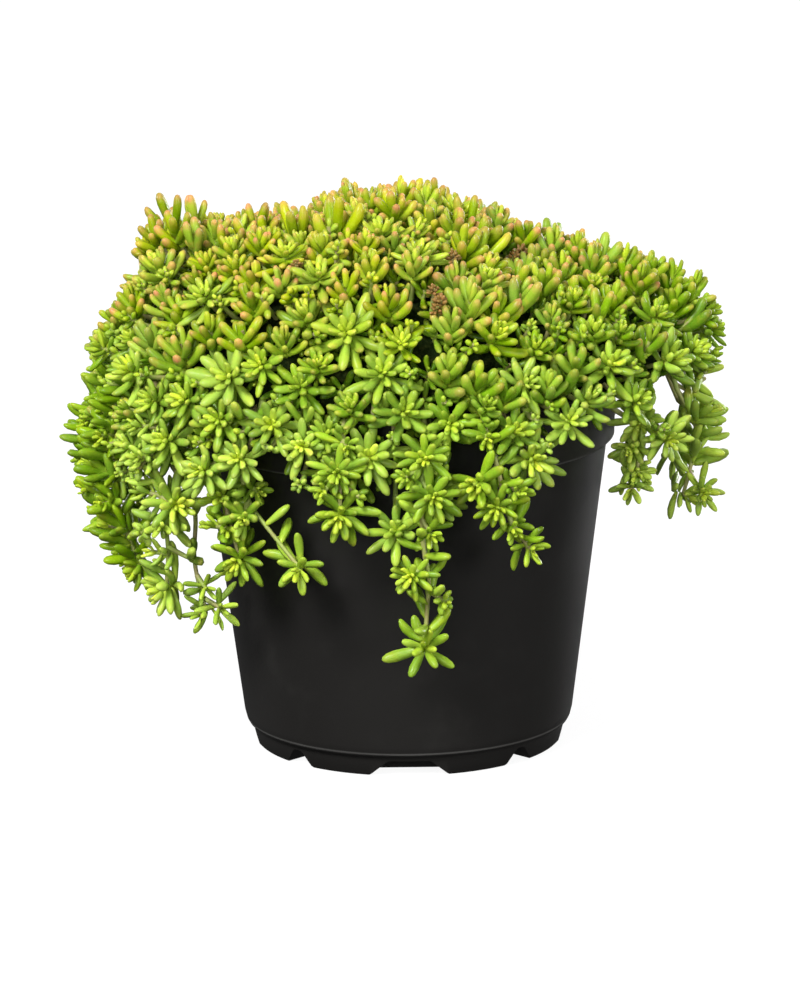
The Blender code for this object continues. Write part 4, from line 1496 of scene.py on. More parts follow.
TRAILS = {
    "trail_front_long": Trail(
        ((7, -84, 150.6), (7, -98, 143), (6, -102, 126), (5.8, -101, 112), (6.5, -99, 100),
         (8.1, -97, 89), (7.4, -93, 75), (6.2, -92, 60)), 0, 0.4, tip=HAND, tip_size=1.2,
        droop=-0.15,
        seen=((410, 577, 0.75, STAR), (447, 602, 1.2, BUD), (432, 536, 0.8, SPRAY),
              (434, 498, 0.9, STAR), (426, 460, 0.85, STAR), (405, 478, 0.7, SPRAY))),
    "trail_front_right": Trail(
        ((26, -80, 150.6), (30, -93, 146), (35, -97, 130), (38, -96, 114), (46, -91, 99)),
        0, 0.3, tip=HAND, tip_size=0.85,
        seen=((496, 509, 0.8, STAR), (476, 484, 1.05, STAR), (520, 492, 0.75, SPRAY),
              (514, 530, 0.8, SPRAY), (487, 440, 0.7, SPRAY))),
    "trail_front_short": Trail(
        ((-22, -81, 150.6), (-24, -95, 144), (-25, -101, 128), (-25, -100, 115)), 0, 0.4,
        tip_size=0.95, seen=((322, 492, 0.75, SPRAY), (360, 497, 1.1, BUD),
                             (336, 474, 0.8, STAR), (346, 448, 0.7, SPRAY))),
    "trail_left_front": Trail(
        ((-52, -66, 150.6), (-60, -73, 146), (-63, -75, 130), (-60, -75, 114), (-55, -78, 107),
         (-41, -84, 90)), 0, 0.5, tip=HAND, tip_size=1.05,
        seen=((243, 520, 0.8, CUP), (258, 492, 0.7, SPRAY)), leaf_every=3),
    "trail_left_cluster": Trail(
        ((-63, -56, 150.6), (-72, -62, 145), (-72, -67, 126), (-68, -70, 107), (-64, -72, 91)),
        12 * MM, 0.35, side_size=0.85, seen=((226, 530, 1.0, SPRAY),)),
    "trail_left_star": Trail(
        ((-72, -43, 150.6), (-89, -52, 147), (-97, -57, 131), (-94, -57, 110), (-92, -55, 92),
         (-93, -50, 74)), 13 * MM, 0.9, tip_size=1.1,
        seen=((177, 505, 1.0, STAR), (140, 533, 1.3, BUD), (138, 470, 1.3, BUD),
              (194, 560, 0.8, LONG))),
    "trail_left_thin": Trail(
        ((-77, -33, 150.6), (-93, -40, 148.5), (-93, -46, 128), (-82, -49, 107),
         (-82, -49, 84), (-78, -50, 64)), 0, 0.75, tip=SPRIG, tip_size=1.0,
        seen=((222, 608, 1.0, SPRIG), (206, 588, 0.8, SPRIG)), leaf_every=5),
    "trail_curtain_front": Trail(
        ((-80, -24, 150.6), (-99, -29, 149.5), (-111, -32, 139), (-114, -33, 120),
         (-111, -32, 100), (-104, -30, 78)), 13 * MM, 0.15, side_size=0.8,
        ranks=(-1, -0.5, 0.45), shade=0.15),
    "trail_curtain_middle": Trail(
        ((-84, -4, 150.6), (-104, -6, 149.5), (-116, -8, 140), (-120, -8, 122),
         (-118, -7, 104), (-113, -6, 88), (-108, -6, 78)), 13 * MM, 0.15, side_size=0.8,
        ranks=(-1, -0.2, 0.5), shade=0.15),
    "trail_curtain_rear": Trail(
        ((-82, 18, 150.6), (-102, 23, 149.5), (-112, 26, 138), (-115, 27, 120),
         (-112, 27, 102), (-105, 26, 86)), 13 * MM, 0.15, side_size=0.8,
        ranks=(-1, 0.3, 0.45), shade=0.15),
    "trail_back_left": Trail(
        ((-66, 52, 150.6), (-82, 65, 149), (-91, 73, 138), (-92, 74, 118), (-87, 71, 98))),
    "trail_back_long": Trail(
        ((-45, 71, 150.6), (-52, 84, 146), (-55, 90, 128), (-54, 89, 108), (-51, 85, 90))),
    "trail_back": Trail(
        ((-8, 84, 150.6), (-9, 98, 145), (-10, 102, 127), (-10, 100, 110), (-8, 96, 95))),
    "trail_back_right": Trail(
        ((38, 75, 150.6), (44, 88, 146), (47, 94, 130), (46, 93, 112))),
    "trail_right_rear": Trail(
        ((77, 32, 150.6), (98, 40, 149.5), (112, 45, 138), (113, 46, 120), (108, 43, 103))),
    # partly painted light: the strong sun tint and high pale tint of the two right-hand trails
    # brighten leaves in the mound's shade
    "trail_right_far": Trail(
        ((83, -8, 150.6), (104, -11, 149.5), (111, -13, 141), (113, -15, 128), (111, -17, 112),
         (108, -18, 101)), 0, 0.85, tip=HAND, ranks=(1, -0.25, 0.4), sun=0.8,
        seen=((706, 372, 0.7, CUP), (703, 494, 0.7, STAR))),
    "trail_right_near": Trail(
        ((75, -37, 150.6), (86, -43, 147), (90, -46, 139), (90, -46, 127), (89, -43, 116)),
        0, 0.95, tip=HAND, tip_size=0.9, sun=0.8,
        seen=((641, 424, 0.8, STAR), (630, 450, 0.8, CUP), (669, 440, 0.85, STAR),
              (637, 474, 0.75, SPRAY), (631, 490, 0.75, HAND)),
        spur=((56, -52, 164), (64, -54, 158), (72, -52, 150.5), (80, -49, 142.5),
              (88, -46, 137))),
}


def smooth_route(points: list[Vector], step: float) -> list[Vector]:
    """Points at even steps along a smooth curve through the route's own points.

    Args:
        points: the route's own points.
        step: the distance between the new ones.

    Returns:
        The new points.
    """
    parts = 12
    ends = [points[0] * 2 - points[1], *points, points[-1] * 2 - points[-2]]
    fine = []
    for a, b, c, d in zip(ends, ends[1:], ends[2:], ends[3:]):
        for count in range(parts):
            t = count / parts
            fine.append(0.5 * ((2 * b) + (c - a) * t + (2 * a - 5 * b + 4 * c - d) * t * t
                               + (3 * b - a - 3 * c + d) * t ** 3))
    fine.append(points[-1])
    lengths = np.cumsum([0] + [(b - a).length for a, b in zip(fine, fine[1:])])
    count = max(int(round(lengths[-1] / step)), 2)
    spots = np.linspace(0, lengths[-1], count + 1)
    columns = [np.interp(spots, lengths, [point[axis] for point in fine]) for axis in range(3)]
    return [Vector(values) for values in zip(*columns)]


@dataclass
class TrailGrower:
    """Clothes one trailing stem: the rosette at its tip, its shoots and its single leaves.

    Lengths that chance draws from a range are in millimetres.
    """

    gardener: Gardener
    camera: PhotoCamera
    trail: Trail
    core_depth: float
    growth: Growth = field(default_factory=Growth)
    centres: list[Vector] = field(default_factory=list)
    soil_top: float = 138 * MM
    root_depth: float = 12 * MM
    root_circle: float = 71.5 * MM
    rim_crossing: float = 150.6 * MM
    past_collar: float = 7 * MM
    step: float = 3 * MM
    room: float = 1.0 * MM
    stem_radii: Pair = (1.2 * MM, 0.8 * MM)
    spur_radii: Pair = (1.3 * MM, 1.0 * MM)
    blush: float = 0.3
    leaf_blush: float = 0.06
    seen_forward: float = 5 * MM
    tip_forward: float = 3 * MM
    side_turns: Pair = (0.35, 0.95)
    side_rises: Pair = (-0.05, 0.35)
    side_reaches: Pair = (6, 10)
    side_sizes: Pair = (0.85, 1.15)
    rank_leaves: int = 3
    rank_sway: float = 0.3
    rank_lengths: Pair = (12.5, 15.5)
    rank_lifts: Pair = (62, 82)
    rank_slimness: Pair = (0.31, 0.36)
    leaf_lengths: Pair = (10.5, 14)
    leaf_lifts: Pair = (15, 55)
    leaf_slimness: float = 0.36

    def __post_init__(self) -> None:
        """Lay the stem's line and find where it is clear of the pot's collar."""
        self.rng = self.gardener.rng
        self.mood = Mood(self.blush, self.trail.pale, self.trail.shade, self.trail.sun)
        self.points = self.line()
        clear = self.gardener.pot.collar_radius + self.past_collar
        self.start = next(index for index, point in enumerate(self.points)
                          if math.hypot(point.x, point.y) > clear)
        self.outside = self.points[self.start:]

    def line(self) -> list[Vector]:
        """The stem's line, out of the soil, over the rim and down its route.

        Returns:
            The line's points.
        """
        outside = [Vector(point) * MM for point in self.trail.route]
        azimuth = bearing(outside[0])
        ray = Vector((math.cos(azimuth), math.sin(azimuth), 0))
        circle = self.root_circle
        rise = [ray * circle + UP * (self.soil_top - self.root_depth),
                ray * circle + UP * (self.soil_top + 4 * MM),
                ray * (circle + 3 * MM) + UP * (self.rim_crossing - 2.5 * MM),
                ray * (circle + 7.5 * MM) + UP * self.rim_crossing]
        return smooth_route(rise + outside, self.step)

    def grow(self) -> None:
        """Lay the stem and its spur, then grow its tip, its shoots and its leaves."""
        trail = self.trail
        self.growth.stems.append(Stem(self.points, self.stem_radii))
        lines = [self.outside]
        if trail.spur:
            spur = smooth_route([Vector(point) * MM for point in trail.spur], self.step)
            self.growth.stems.append(Stem(spur, self.spur_radii))
            lines.append(spur)
        crowd = self.gardener.crowd
        for line in lines:
            for a, b in zip(line, line[1:]):
                crowd.add(Rod(a, b, self.room), crowd.trail_owner)
        self.grow_tip()
        for across, down, size, habit in trail.seen:
            self.grow_seen((across, down), size, habit)
        if trail.ranks:
            self.grow_ranks()
        if trail.spacing:
            self.grow_sides()
        self.grow_leaves()

    def shoot(self, habit: Habit, centre: Vector, axis: Vector, size: float,
              root: Vector) -> None:
        """Grow one shoot out of the stem.

        Args:
            habit: how its leaves stand.
            centre: where its heart is.
            axis: the way it points.
            size: its size against the habit's own.
            root: where it leaves the stem.
        """
        self.gardener.shoot(self.growth, habit, centre, axis, size, self.mood, root)

    def leaf(self, place: Vector, axis: Vector, lift: float, around: float, length: float,
             slimness: float, since: int) -> None:
        """Grow one leaf out of the stem.

        Args:
            place: where it starts.
            axis: the way that its lift is measured from.
            lift: its lift in degrees.
            around: how far it stands round the axis.
            length: its length.
            slimness: its girth as a share of its length.
            since: how many rods there were when those at hand were picked.
        """
        plan = LeafPlan(LeafForm.OVAL, place, axis.to_track_quat("Z", "Y").to_matrix(), lift,
                        around, length, length * slimness)
        mood = replace(self.mood, blush=self.leaf_blush)
        self.gardener.leaf(self.growth, plan, mood, self.gardener.crowd.trail_owner, since,
                           self.core_depth)

    def grow_tip(self) -> None:
        """The rosette at the stem's tip."""
        tip = self.points[-1]
        ahead = (tip - self.points[-3]).normalized()
        axis = (ahead * self.trail.droop + outwards(tip) + UP * 0.15).normalized()
        self.shoot(self.trail.tip, tip + axis * self.tip_forward, axis, self.trail.tip_size, tip)

    def grow_seen(self, pixel: Pair, size: float, habit: Habit) -> None:
        """A shoot that the photograph shows on the stem.

        Args:
            pixel: its heart in the photograph.
            size: its size against the habit's own.
            habit: how its leaves stand.
        """
        points = self.outside
        apart = [math.dist(self.camera.pixel(point), pixel) for point in points]
        nearest = int(np.argmin(apart))
        root = points[max(nearest - 2, 0)]
        centre = self.camera.spot(pixel, points[nearest].y - self.seen_forward)
        away = (centre - root).normalized()
        facing = (self.camera.place() - centre).normalized()
        axis = (away * 0.6 + facing * 0.9 + UP * 0.1).normalized()
        self.shoot(habit, centre, axis, size, root)
        self.centres.append(centre)

    def grow_sides(self) -> None:
        """Side shoots at even steps up the stem, to its left and right by turns."""
        rng = self.rng
        last = len(self.points) - 1
        spacing = self.trail.spacing
        for index in range(max(int((last - self.start) * self.step / spacing), 1)):
            spot = last - (index + 1) * spacing / self.step
            place = self.points[max(int(spot), self.start)]
            out = outwards(place)
            side = (-1) ** index * rng.uniform(*self.side_turns)
            axis = out + out.cross(UP) * side + UP * rng.uniform(*self.side_rises)
            axis.normalize()
            centre = place + axis * rng.uniform(*self.side_reaches) * MM
            size = self.trail.side_size * rng.uniform(*self.side_sizes)
            self.shoot(self.trail.side, centre, axis, size, place)

    def grow_ranks(self) -> None:
        """Plump leaves in ranks down the stem, all turned to its outer side."""
        rng = self.rng
        crowd = self.gardener.crowd
        for place in self.outside[::2]:
            count = crowd.count
            crowd.look_round(place, self.gardener.look)
            for _ in range(self.rank_leaves):
                axis = (Vector(self.trail.ranks) + sway(rng, self.rank_sway)).normalized()
                length = rng.uniform(*self.rank_lengths) * MM
                lift = rng.uniform(*self.rank_lifts)
                around = rng.uniform(0, math.tau)
                self.leaf(place + axis * MM, axis, lift, around, length,
                          rng.uniform(*self.rank_slimness), count)

    def grow_leaves(self) -> None:
        """Single leaves along the stem, turned up towards the light."""
        rng = self.rng
        crowd = self.gardener.crowd
        for index in range(1, len(self.outside) - 1, self.trail.leaf_every):
            place = self.outside[index]
            axis = (UP + outwards(place) * 0.35).normalized()
            crowd.look_round(place, self.gardener.look)
            length = rng.uniform(*self.leaf_lengths) * MM
            self.leaf(place, axis, rng.uniform(*self.leaf_lifts), GOLDEN_ANGLE * index, length,
                      self.leaf_slimness, crowd.count)


@dataclass
class Plant:
    """The stonecrop: its clumps, its trailing stems and the leaves that clothe them.

    Shoots that the photograph shows are given by pixel and size, those on the outline with how far
    behind the middle plane they stand too. That and the ranges of depths are in millimetres.
    """

    mound: Mound
    pot: PotShape
    camera: PhotoCamera
    clearings: Clearings
    hero_size: float = 0.95
    crown_radius: float = 22 * MM
    inner_radius: float = 54 * MM
    inner_clumps: int = 7
    outer_clumps: int = 14
    core_depth: float = 23 * MM
    core_foot: float = 150 * MM
    stars: tuple[Triple, ...] = (
        (228, 377, 1.2), (346, 331, 1.15), (285, 340, 0.8), (383, 372, 1.0), (319, 364, 0.75),
        (300, 385, 0.9), (319, 275, 0.95), (285, 253, 0.9), (279, 279, 0.8), (203, 294, 0.9),
        (381, 231, 0.95), (316, 227, 0.8), (233, 247, 0.85), (519, 289, 0.85), (551, 316, 0.75),
        (595, 330, 0.85), (658, 314, 0.9), (621, 330, 0.75), (574, 298, 0.8), (612, 364, 1.0),
        (527, 383, 0.9), (405, 411, 1.0), (419, 252, 0.9), (394, 240, 0.8), (350, 406, 0.8),
        (533, 461, 1.05), (369, 457, 1.0), (397, 531, 0.9), (272, 425, 0.95), (165, 440, 0.95),
        (128, 445, 0.9), (515, 431, 0.9), (301, 446, 0.85), (426, 457, 0.8), (434, 497, 0.9),
        (570, 420, 0.85), (325, 434, 0.7), (238, 458, 0.85), (217, 419, 0.9), (487, 404, 0.8),
        (696, 350, 0.9), (150, 400, 0.9), (200, 470, 0.9), (334, 474, 0.75), (590, 395, 0.8))
    tufts: tuple[Triple, ...] = (
        (450, 368, 1.1), (478, 378, 1.1), (505, 390, 1.0), (470, 300, 1.1), (497, 306, 1.0),
        (455, 322, 0.95), (180, 345, 1.05), (150, 335, 1.0), (210, 330, 1.0), (560, 268, 0.9),
        (524, 268, 0.95), (592, 262, 1.0), (345, 285, 0.9), (252, 300, 0.95), (390, 300, 0.95),
        (548, 385, 0.9), (640, 280, 0.95), (675, 300, 0.9))
    outline_shoots: tuple[tuple[float, float, float, float, Habit], ...] = (
        (144, 248, -4, 0.8, CUP), (154, 231, -8, 0.9, TUFT), (174, 226, -14, 0.95, TUFT),
        (172, 224, 4, 0.85, LONG), (196, 224, -4, 0.9, LONG), (215, 230, -12, 0.9, TUFT),
        (240, 228, -4, 0.9, TUFT), (264, 228, -10, 0.9, TUFT), (290, 228, -2, 0.85, TUFT),
        (116, 314, -10, 0.8, TUFT), (100, 347, -16, 0.95, HAND), (92, 416, -14, 0.9, HAND),
        (140, 270, -6, 0.8, CUP), (137, 294, 6, 0.8, CUP), (348, 200, 6, 0.9, TUFT),
        (370, 200, 2, 0.9, TUFT), (402, 195, 8, 0.95, TUFT), (426, 200, 2, 0.8, TUFT),
        (454, 210, 6, 0.85, STAR), (499, 220, 4, 0.85, TUFT), (526, 230, 2, 0.9, TUFT),
        (554, 242, 0, 0.9, TUFT), (578, 246, -4, 0.85, TUFT), (600, 252, -6, 1.05, TUFT),
        (624, 260, -6, 0.95, TUFT), (650, 268, -4, 0.9, TUFT), (674, 276, -6, 0.9, TUFT),
        (694, 286, -8, 0.85, TUFT), (330, 212, 4, 0.9, TUFT), (312, 218, 0, 0.8, TUFT),
        (708, 308, -6, 0.8, CUP), (714, 328, -4, 0.8, STAR), (712, 354, -12, 0.8, HAND))
    dried: tuple[Triple, ...] = (
        (522, 248, 0.9), (514, 253, 0.8), (453, 253, 0.8), (441, 299, 1.0), (434, 288, 0.8),
        (446, 312, 0.8), (437, 306, 0.7), (296, 262, 0.7))
    star_depth: float = 9 * MM
    tuft_depth: float = 10 * MM
    dried_depth: float = 7 * MM
    dryness: float = 0.85
    axis_sway: float = 0.14
    root_below: float = 17 * MM
    root_inward: float = 16 * MM
    root_over_core: float = 4 * MM
    look_from: float = 2.35
    look_steps: int = 360
    under_base: float = 8 * MM
    top_rise: Pair = (160 * MM, 198 * MM)
    pale_rise: Pair = (120 * MM, 190 * MM)
    right_rise: Pair = (8 * MM, 58 * MM)
    left_rise: Pair = (-20 * MM, -70 * MM)
    blush_spread: Pair = (0.5, 1.4)
    shade_spread: float = 0.22
    most_shade: float = 0.8
    top_slope: float = 0.75
    side_slope: float = 0.4
    right_from: float = 20 * MM
    skyline_reach: float = 11 * MM
    most_drop: float = 9 * MM
    fill_depths: Pair = (7, 13)
    fill_sizes: Pair = (0.78, 1.18)
    fill_spacing: float = 15.5 * MM
    top_closer: float = 2.5 * MM
    fill_tries: int = 16000
    bud_count: int = 260
    long_count: int = 130
    sprinkle_tries: int = 12
    sprinkle_spread: Pair = (-3, 3)
    inner_depths: Pair = (15, 19)
    inner_sizes: Pair = (0.7, 1.0)
    inner_shade: float = 0.7
    inner_spacing: float = 9.5 * MM
    inner_tries: int = 7000

    def __post_init__(self) -> None:
        """Start the clumps and the trailing stems with nothing grown."""
        self.rng = random.Random(SEED)
        self.gardener = Gardener(self.mound, self.pot, self.clearings, self.rng)
        self.clumps = self.make_clumps()
        self.centres: list[Vector] = []
        self.trails: dict[str, Growth] = {}

    def make_clumps(self) -> list[Clump]:
        """The mound's clumps, named as their solids are.

        Returns:
            The clumps, the round middle one first.
        """
        clumps = [Clump("clump_crown", 0, self.crown_radius, -math.pi, math.pi)]
        rings = (("clump_inner_{}", self.inner_clumps, self.crown_radius, self.inner_radius),
                 ("clump_outer_{:02d}", self.outer_clumps, self.inner_radius, None))
        for name, count, inner, outer in rings:
            for index in range(count):
                start = -math.pi + math.tau * index / count
                clumps.append(Clump(name.format(index + 1), inner, outer, start,
                                    start + math.tau / count))
        return clumps

    def clump_at(self, point: Vector) -> Clump:
        """The clump that a point of the mound belongs to."""
        return next((clump for clump in self.clumps if clump.holds(point)), self.clumps[-1])

    def mood(self, point: Vector, normal: Vector, shade: float = 0.0) -> Mood:
        """How a place on the mound tints its shoots.

        Args:
            point: the shoot's place.
            normal: the mound's direction there.
            shade: how far it stands in the shade.

        Returns:
            The tints.
        """
        rng = self.rng
        top = share_of(point.z, *self.top_rise)
        right = share_of(point.x, *self.right_rise)
        left = share_of(point.x, *self.left_rise)
        blush = (0.32 + 0.75 * top * max(normal.z, 0)) * rng.uniform(*self.blush_spread)
        blush *= 1 + 0.35 * left - 0.25 * right
        # painted shade: the plant's right side gets more shade tint here and less sunlit tint below
        shade += max(rng.gauss(0, self.shade_spread), 0) + 0.16 * right
        pale = 0.6 * (1 - share_of(point.z, *self.pale_rise))
        pale += rng.choice((0, 0, 0.15, 0.45))
        sun = (0.1 + 0.8 * top) * (1 - 0.5 * right)
        return Mood(min(blush, 1), pale, min(shade, self.most_shade), sun)

    def habit_for(self, centre: Vector, normal: Vector) -> Habit:
        """The kind of shoot that a place on the mound carries.

        Args:
            centre: the shoot's place.
            normal: the mound's direction there.

        Returns:
            The habit.
        """
        draw = self.rng.random()
        mix = RIGHT_MIX if centre.x > self.right_from else SIDE_MIX
        if normal.z > self.side_slope:
            mix = TOP_MIX if normal.z > self.top_slope else SLOPE_MIX
        return next(habit for limit, habit in mix if draw < limit)

    def under_skyline(self, centre: Vector, axis: Vector, reach: float) -> Vector | None:
        """A shoot's place, lowered where its leaves would stand over the photograph's skyline.

        Args:
            centre: where its heart would be.
            axis: the way it points.
            reach: how far its leaves reach.

        Returns:
            The place, or nothing where it would sink too deep.
        """
        over = self.clearings.over_skyline(centre + axis * reach)
        drop = over * self.camera.distance / self.camera.focal_pixels
        if drop > self.most_drop:
            return None
        return centre - UP * max(drop, 0)

    def shoot_on_mound(self, habit: Habit, centre: Vector, size: float, shade: float = 0.0,
                       fewest: int = 5, dry: float = 0.0, placed: bool = False,
                       pale: float = 0.0) -> None:
        """Grow a shoot on the mound, out of the clump that it belongs to.

        Args:
            habit: how its leaves stand.
            centre: where its heart is.
            size: its size against the habit's own.
            shade: how far it stands in the shade.
            fewest: the fewest leaves that it is kept with.
            dry: how withered it is.
            placed: whether it stands where the photograph shows it, over any gap or skyline.
            pale: how much paler it is than its neighbours.
        """
        normal = self.mound.normal(centre)
        axis = (normal + UP * habit.lean + sway(self.rng, self.axis_sway)).normalized()
        if not placed:
            if self.clearings.in_gap(centre, self.clearings.shoot_margin):
                return
            centre = self.under_skyline(centre, axis, self.skyline_reach * size)
            if centre is None:
                return
        root = self.shoot_root(centre, normal)
        margin = self.clearings.stem_margin
        if not placed and any(self.clearings.in_gap(root.lerp(centre, share), margin)
                              for share in (0, 0.3, 0.6, 0.9)):
            return
        clump = self.clump_at(centre)
        growth = Growth()
        mood = self.mood(centre, normal, shade)
        mood = replace(mood, dry=dry, pale=mood.pale + pale)
        count = self.gardener.shoot(growth, habit, centre, axis, size, mood, root)
        if count >= fewest:
            clump.growth.leaves += growth.leaves
            clump.growth.stems += growth.stems
            self.centres.append(centre)

    def shoot_root(self, centre: Vector, normal: Vector) -> Vector:
        """Where a shoot leaves the tangle under it.

        Args:
            centre: where its heart is.
            normal: the mound's direction there.

        Returns:
            The stem's start.
        """
        root = centre - normal * self.root_below
        lowest = self.core_foot + self.root_over_core
        if root.z > lowest:
            return root
        inward = outwards(centre) * self.root_inward
        return Vector((centre.x - inward.x, centre.y - inward.y, lowest))

    def surface_spot(self, pixel: Pair, depth: float) -> Vector | None:
        """Where the view through a pixel meets the mound, so far under the leaf tips.

        Args:
            pixel: across and down in the photograph.
            depth: how far under the leaf tips the surface lies.

        Returns:
            The point, or nothing where the view misses the mound.
        """
        eye = self.camera.place()
        ray = self.camera.ray(pixel)
        lowest = self.mound.base - self.under_base
        for step in range(self.look_steps):
            point = eye + ray * (self.look_from + step * MM)
            if point.z > lowest and self.mound.level(point, depth) < 0:
                return point
        return None

    def nearest(self, point: Vector) -> float:
        """The distance to the nearest shoot's heart."""
        return min(((point - other).length for other in self.centres), default=1.0)

    def random_spot(self, depth: float) -> Vector:
        """A place on the mound, evenly drawn over its directions.

        Args:
            depth: how far under the leaf tips it lies.

        Returns:
            The point.
        """
        rng = self.rng
        azimuth = rng.uniform(-math.pi, math.pi)
        slope = math.tan(math.asin(rng.uniform(0, 0.9999)))
        climb = math.atan((slope * self.mound.reach / self.mound.rise)
                          ** (self.mound.squareness / 2))
        return self.mound.point(azimuth, climb, depth)

    def grow_stars(self, stars: list[Triple]) -> None:
        """Grow rosettes that the photograph shows on the mound.

        Args:
            stars: their pixels and sizes.
        """
        for across, down, size in stars:
            spot = self.surface_spot((across, down), self.star_depth)
            if spot:
                habit = STAR if size > 0.85 else self.habit_for(spot, self.mound.normal(spot))
                self.shoot_on_mound(habit, spot, size, placed=True,
                                    pale=0.35 if size >= self.hero_size else 0.1)

    def grow_shown(self) -> None:
        """Grow the shoots that the photograph shows on the mound, the biggest rosettes first."""
        self.grow_stars([star for star in self.stars if star[2] >= self.hero_size])
        for across, down, size in self.tufts:
            spot = self.surface_spot((across, down), self.tuft_depth)
            if spot:
                self.shoot_on_mound(TUFT, spot, size, placed=True)
        self.grow_stars([star for star in self.stars if star[2] < self.hero_size])
        for across, down, size in self.dried:
            spot = self.surface_spot((across, down), self.dried_depth)
            if spot:
                self.shoot_on_mound(DRIED, spot, size, dry=self.dryness, placed=True)
        for across, down, y, size, habit in self.outline_shoots:
            spot = self.camera.spot((across, down), y * MM)
            self.shoot_on_mound(habit, spot, size, fewest=2, placed=True)
        LOG.info("shoots from the photograph: %d", len(self.centres))

    def grow_fill(self) -> None:
        """Fill the rest of the mound all round, closer together at its top."""
        rng = self.rng
        for _ in range(self.fill_tries):
            spot = self.random_spot(rng.uniform(*self.fill_depths) * MM)
            if spot.z < self.mound.edge_height(spot):
                continue
            normal = self.mound.normal(spot)
            spacing = self.fill_spacing - self.top_closer * max(normal.z, 0)
            if self.nearest(spot) < spacing * rng.uniform(0.9, 1.1):
                continue
            habit = self.habit_for(spot, normal)
            size = rng.uniform(*self.fill_sizes) - 0.1 * max(normal.z, 0)
            self.shoot_on_mound(habit, spot, size)
        LOG.info("shoots with the fill: %d", len(self.centres))

    def grow_inner(self) -> None:
        """Grow the inner layer, which stands in the shade of the other shoots."""
        rng = self.rng
        for _ in range(self.inner_tries):
            spot = self.random_spot(rng.uniform(*self.inner_depths) * MM)
            if spot.z < self.mound.edge_height(spot) + 4 * MM:
                continue
            if self.nearest(spot) > self.inner_spacing:
                size = rng.uniform(*self.inner_sizes)
                self.shoot_on_mound(INNER, spot, size, self.inner_shade, 2)
        LOG.info("shoots with the inner layer: %d", len(self.centres))

    def grow_mound(self) -> None:
        """Clothe the mound: the shoots that the photograph shows, then the rest all round."""
        self.grow_shown()
        self.grow_fill()
        full = list(self.centres)
        self.sprinkle(LONG, self.long_count, depth=13 * MM, spacing=8.5 * MM,
                      sizes=(0.8, 1.05), fewest=2)
        self.sprinkle(BUD, self.bud_count, depth=8 * MM, spacing=8 * MM, sizes=(0.8, 1.25),
                      fewest=4)
        self.centres = full
        self.grow_inner()

    def sprinkle(self, habit: Habit, count: int, depth: float, spacing: float,
                 sizes: Pair, fewest: int) -> None:
        """Set small shoots into the gaps between the others.

        Args:
            habit: how their leaves stand.
            count: how many are wanted.
            depth: how far under the leaf tips they stand.
            spacing: the least distance to the next heart.
            sizes: their smallest and largest size.
            fewest: the fewest leaves that one is kept with.
        """
        rng = self.rng
        placed = 0
        for _ in range(count * self.sprinkle_tries):
            if placed == count:
                return
            spot = self.random_spot(depth + rng.uniform(*self.sprinkle_spread) * MM)
            if spot.z < self.mound.edge_height(spot):
                continue
            if self.nearest(spot) > spacing:
                self.shoot_on_mound(habit, spot, rng.uniform(*sizes), fewest=fewest)
                placed += 1

    def grow(self) -> None:
        """Grow everything, the trailing stems first."""
        for name, trail in TRAILS.items():
            grower = TrailGrower(self.gardener, self.camera, trail, self.core_depth)
            grower.grow()
            self.trails[name] = grower.growth
            self.centres += [*grower.centres, Vector(trail.route[-1]) * MM]
        self.grow_mound()


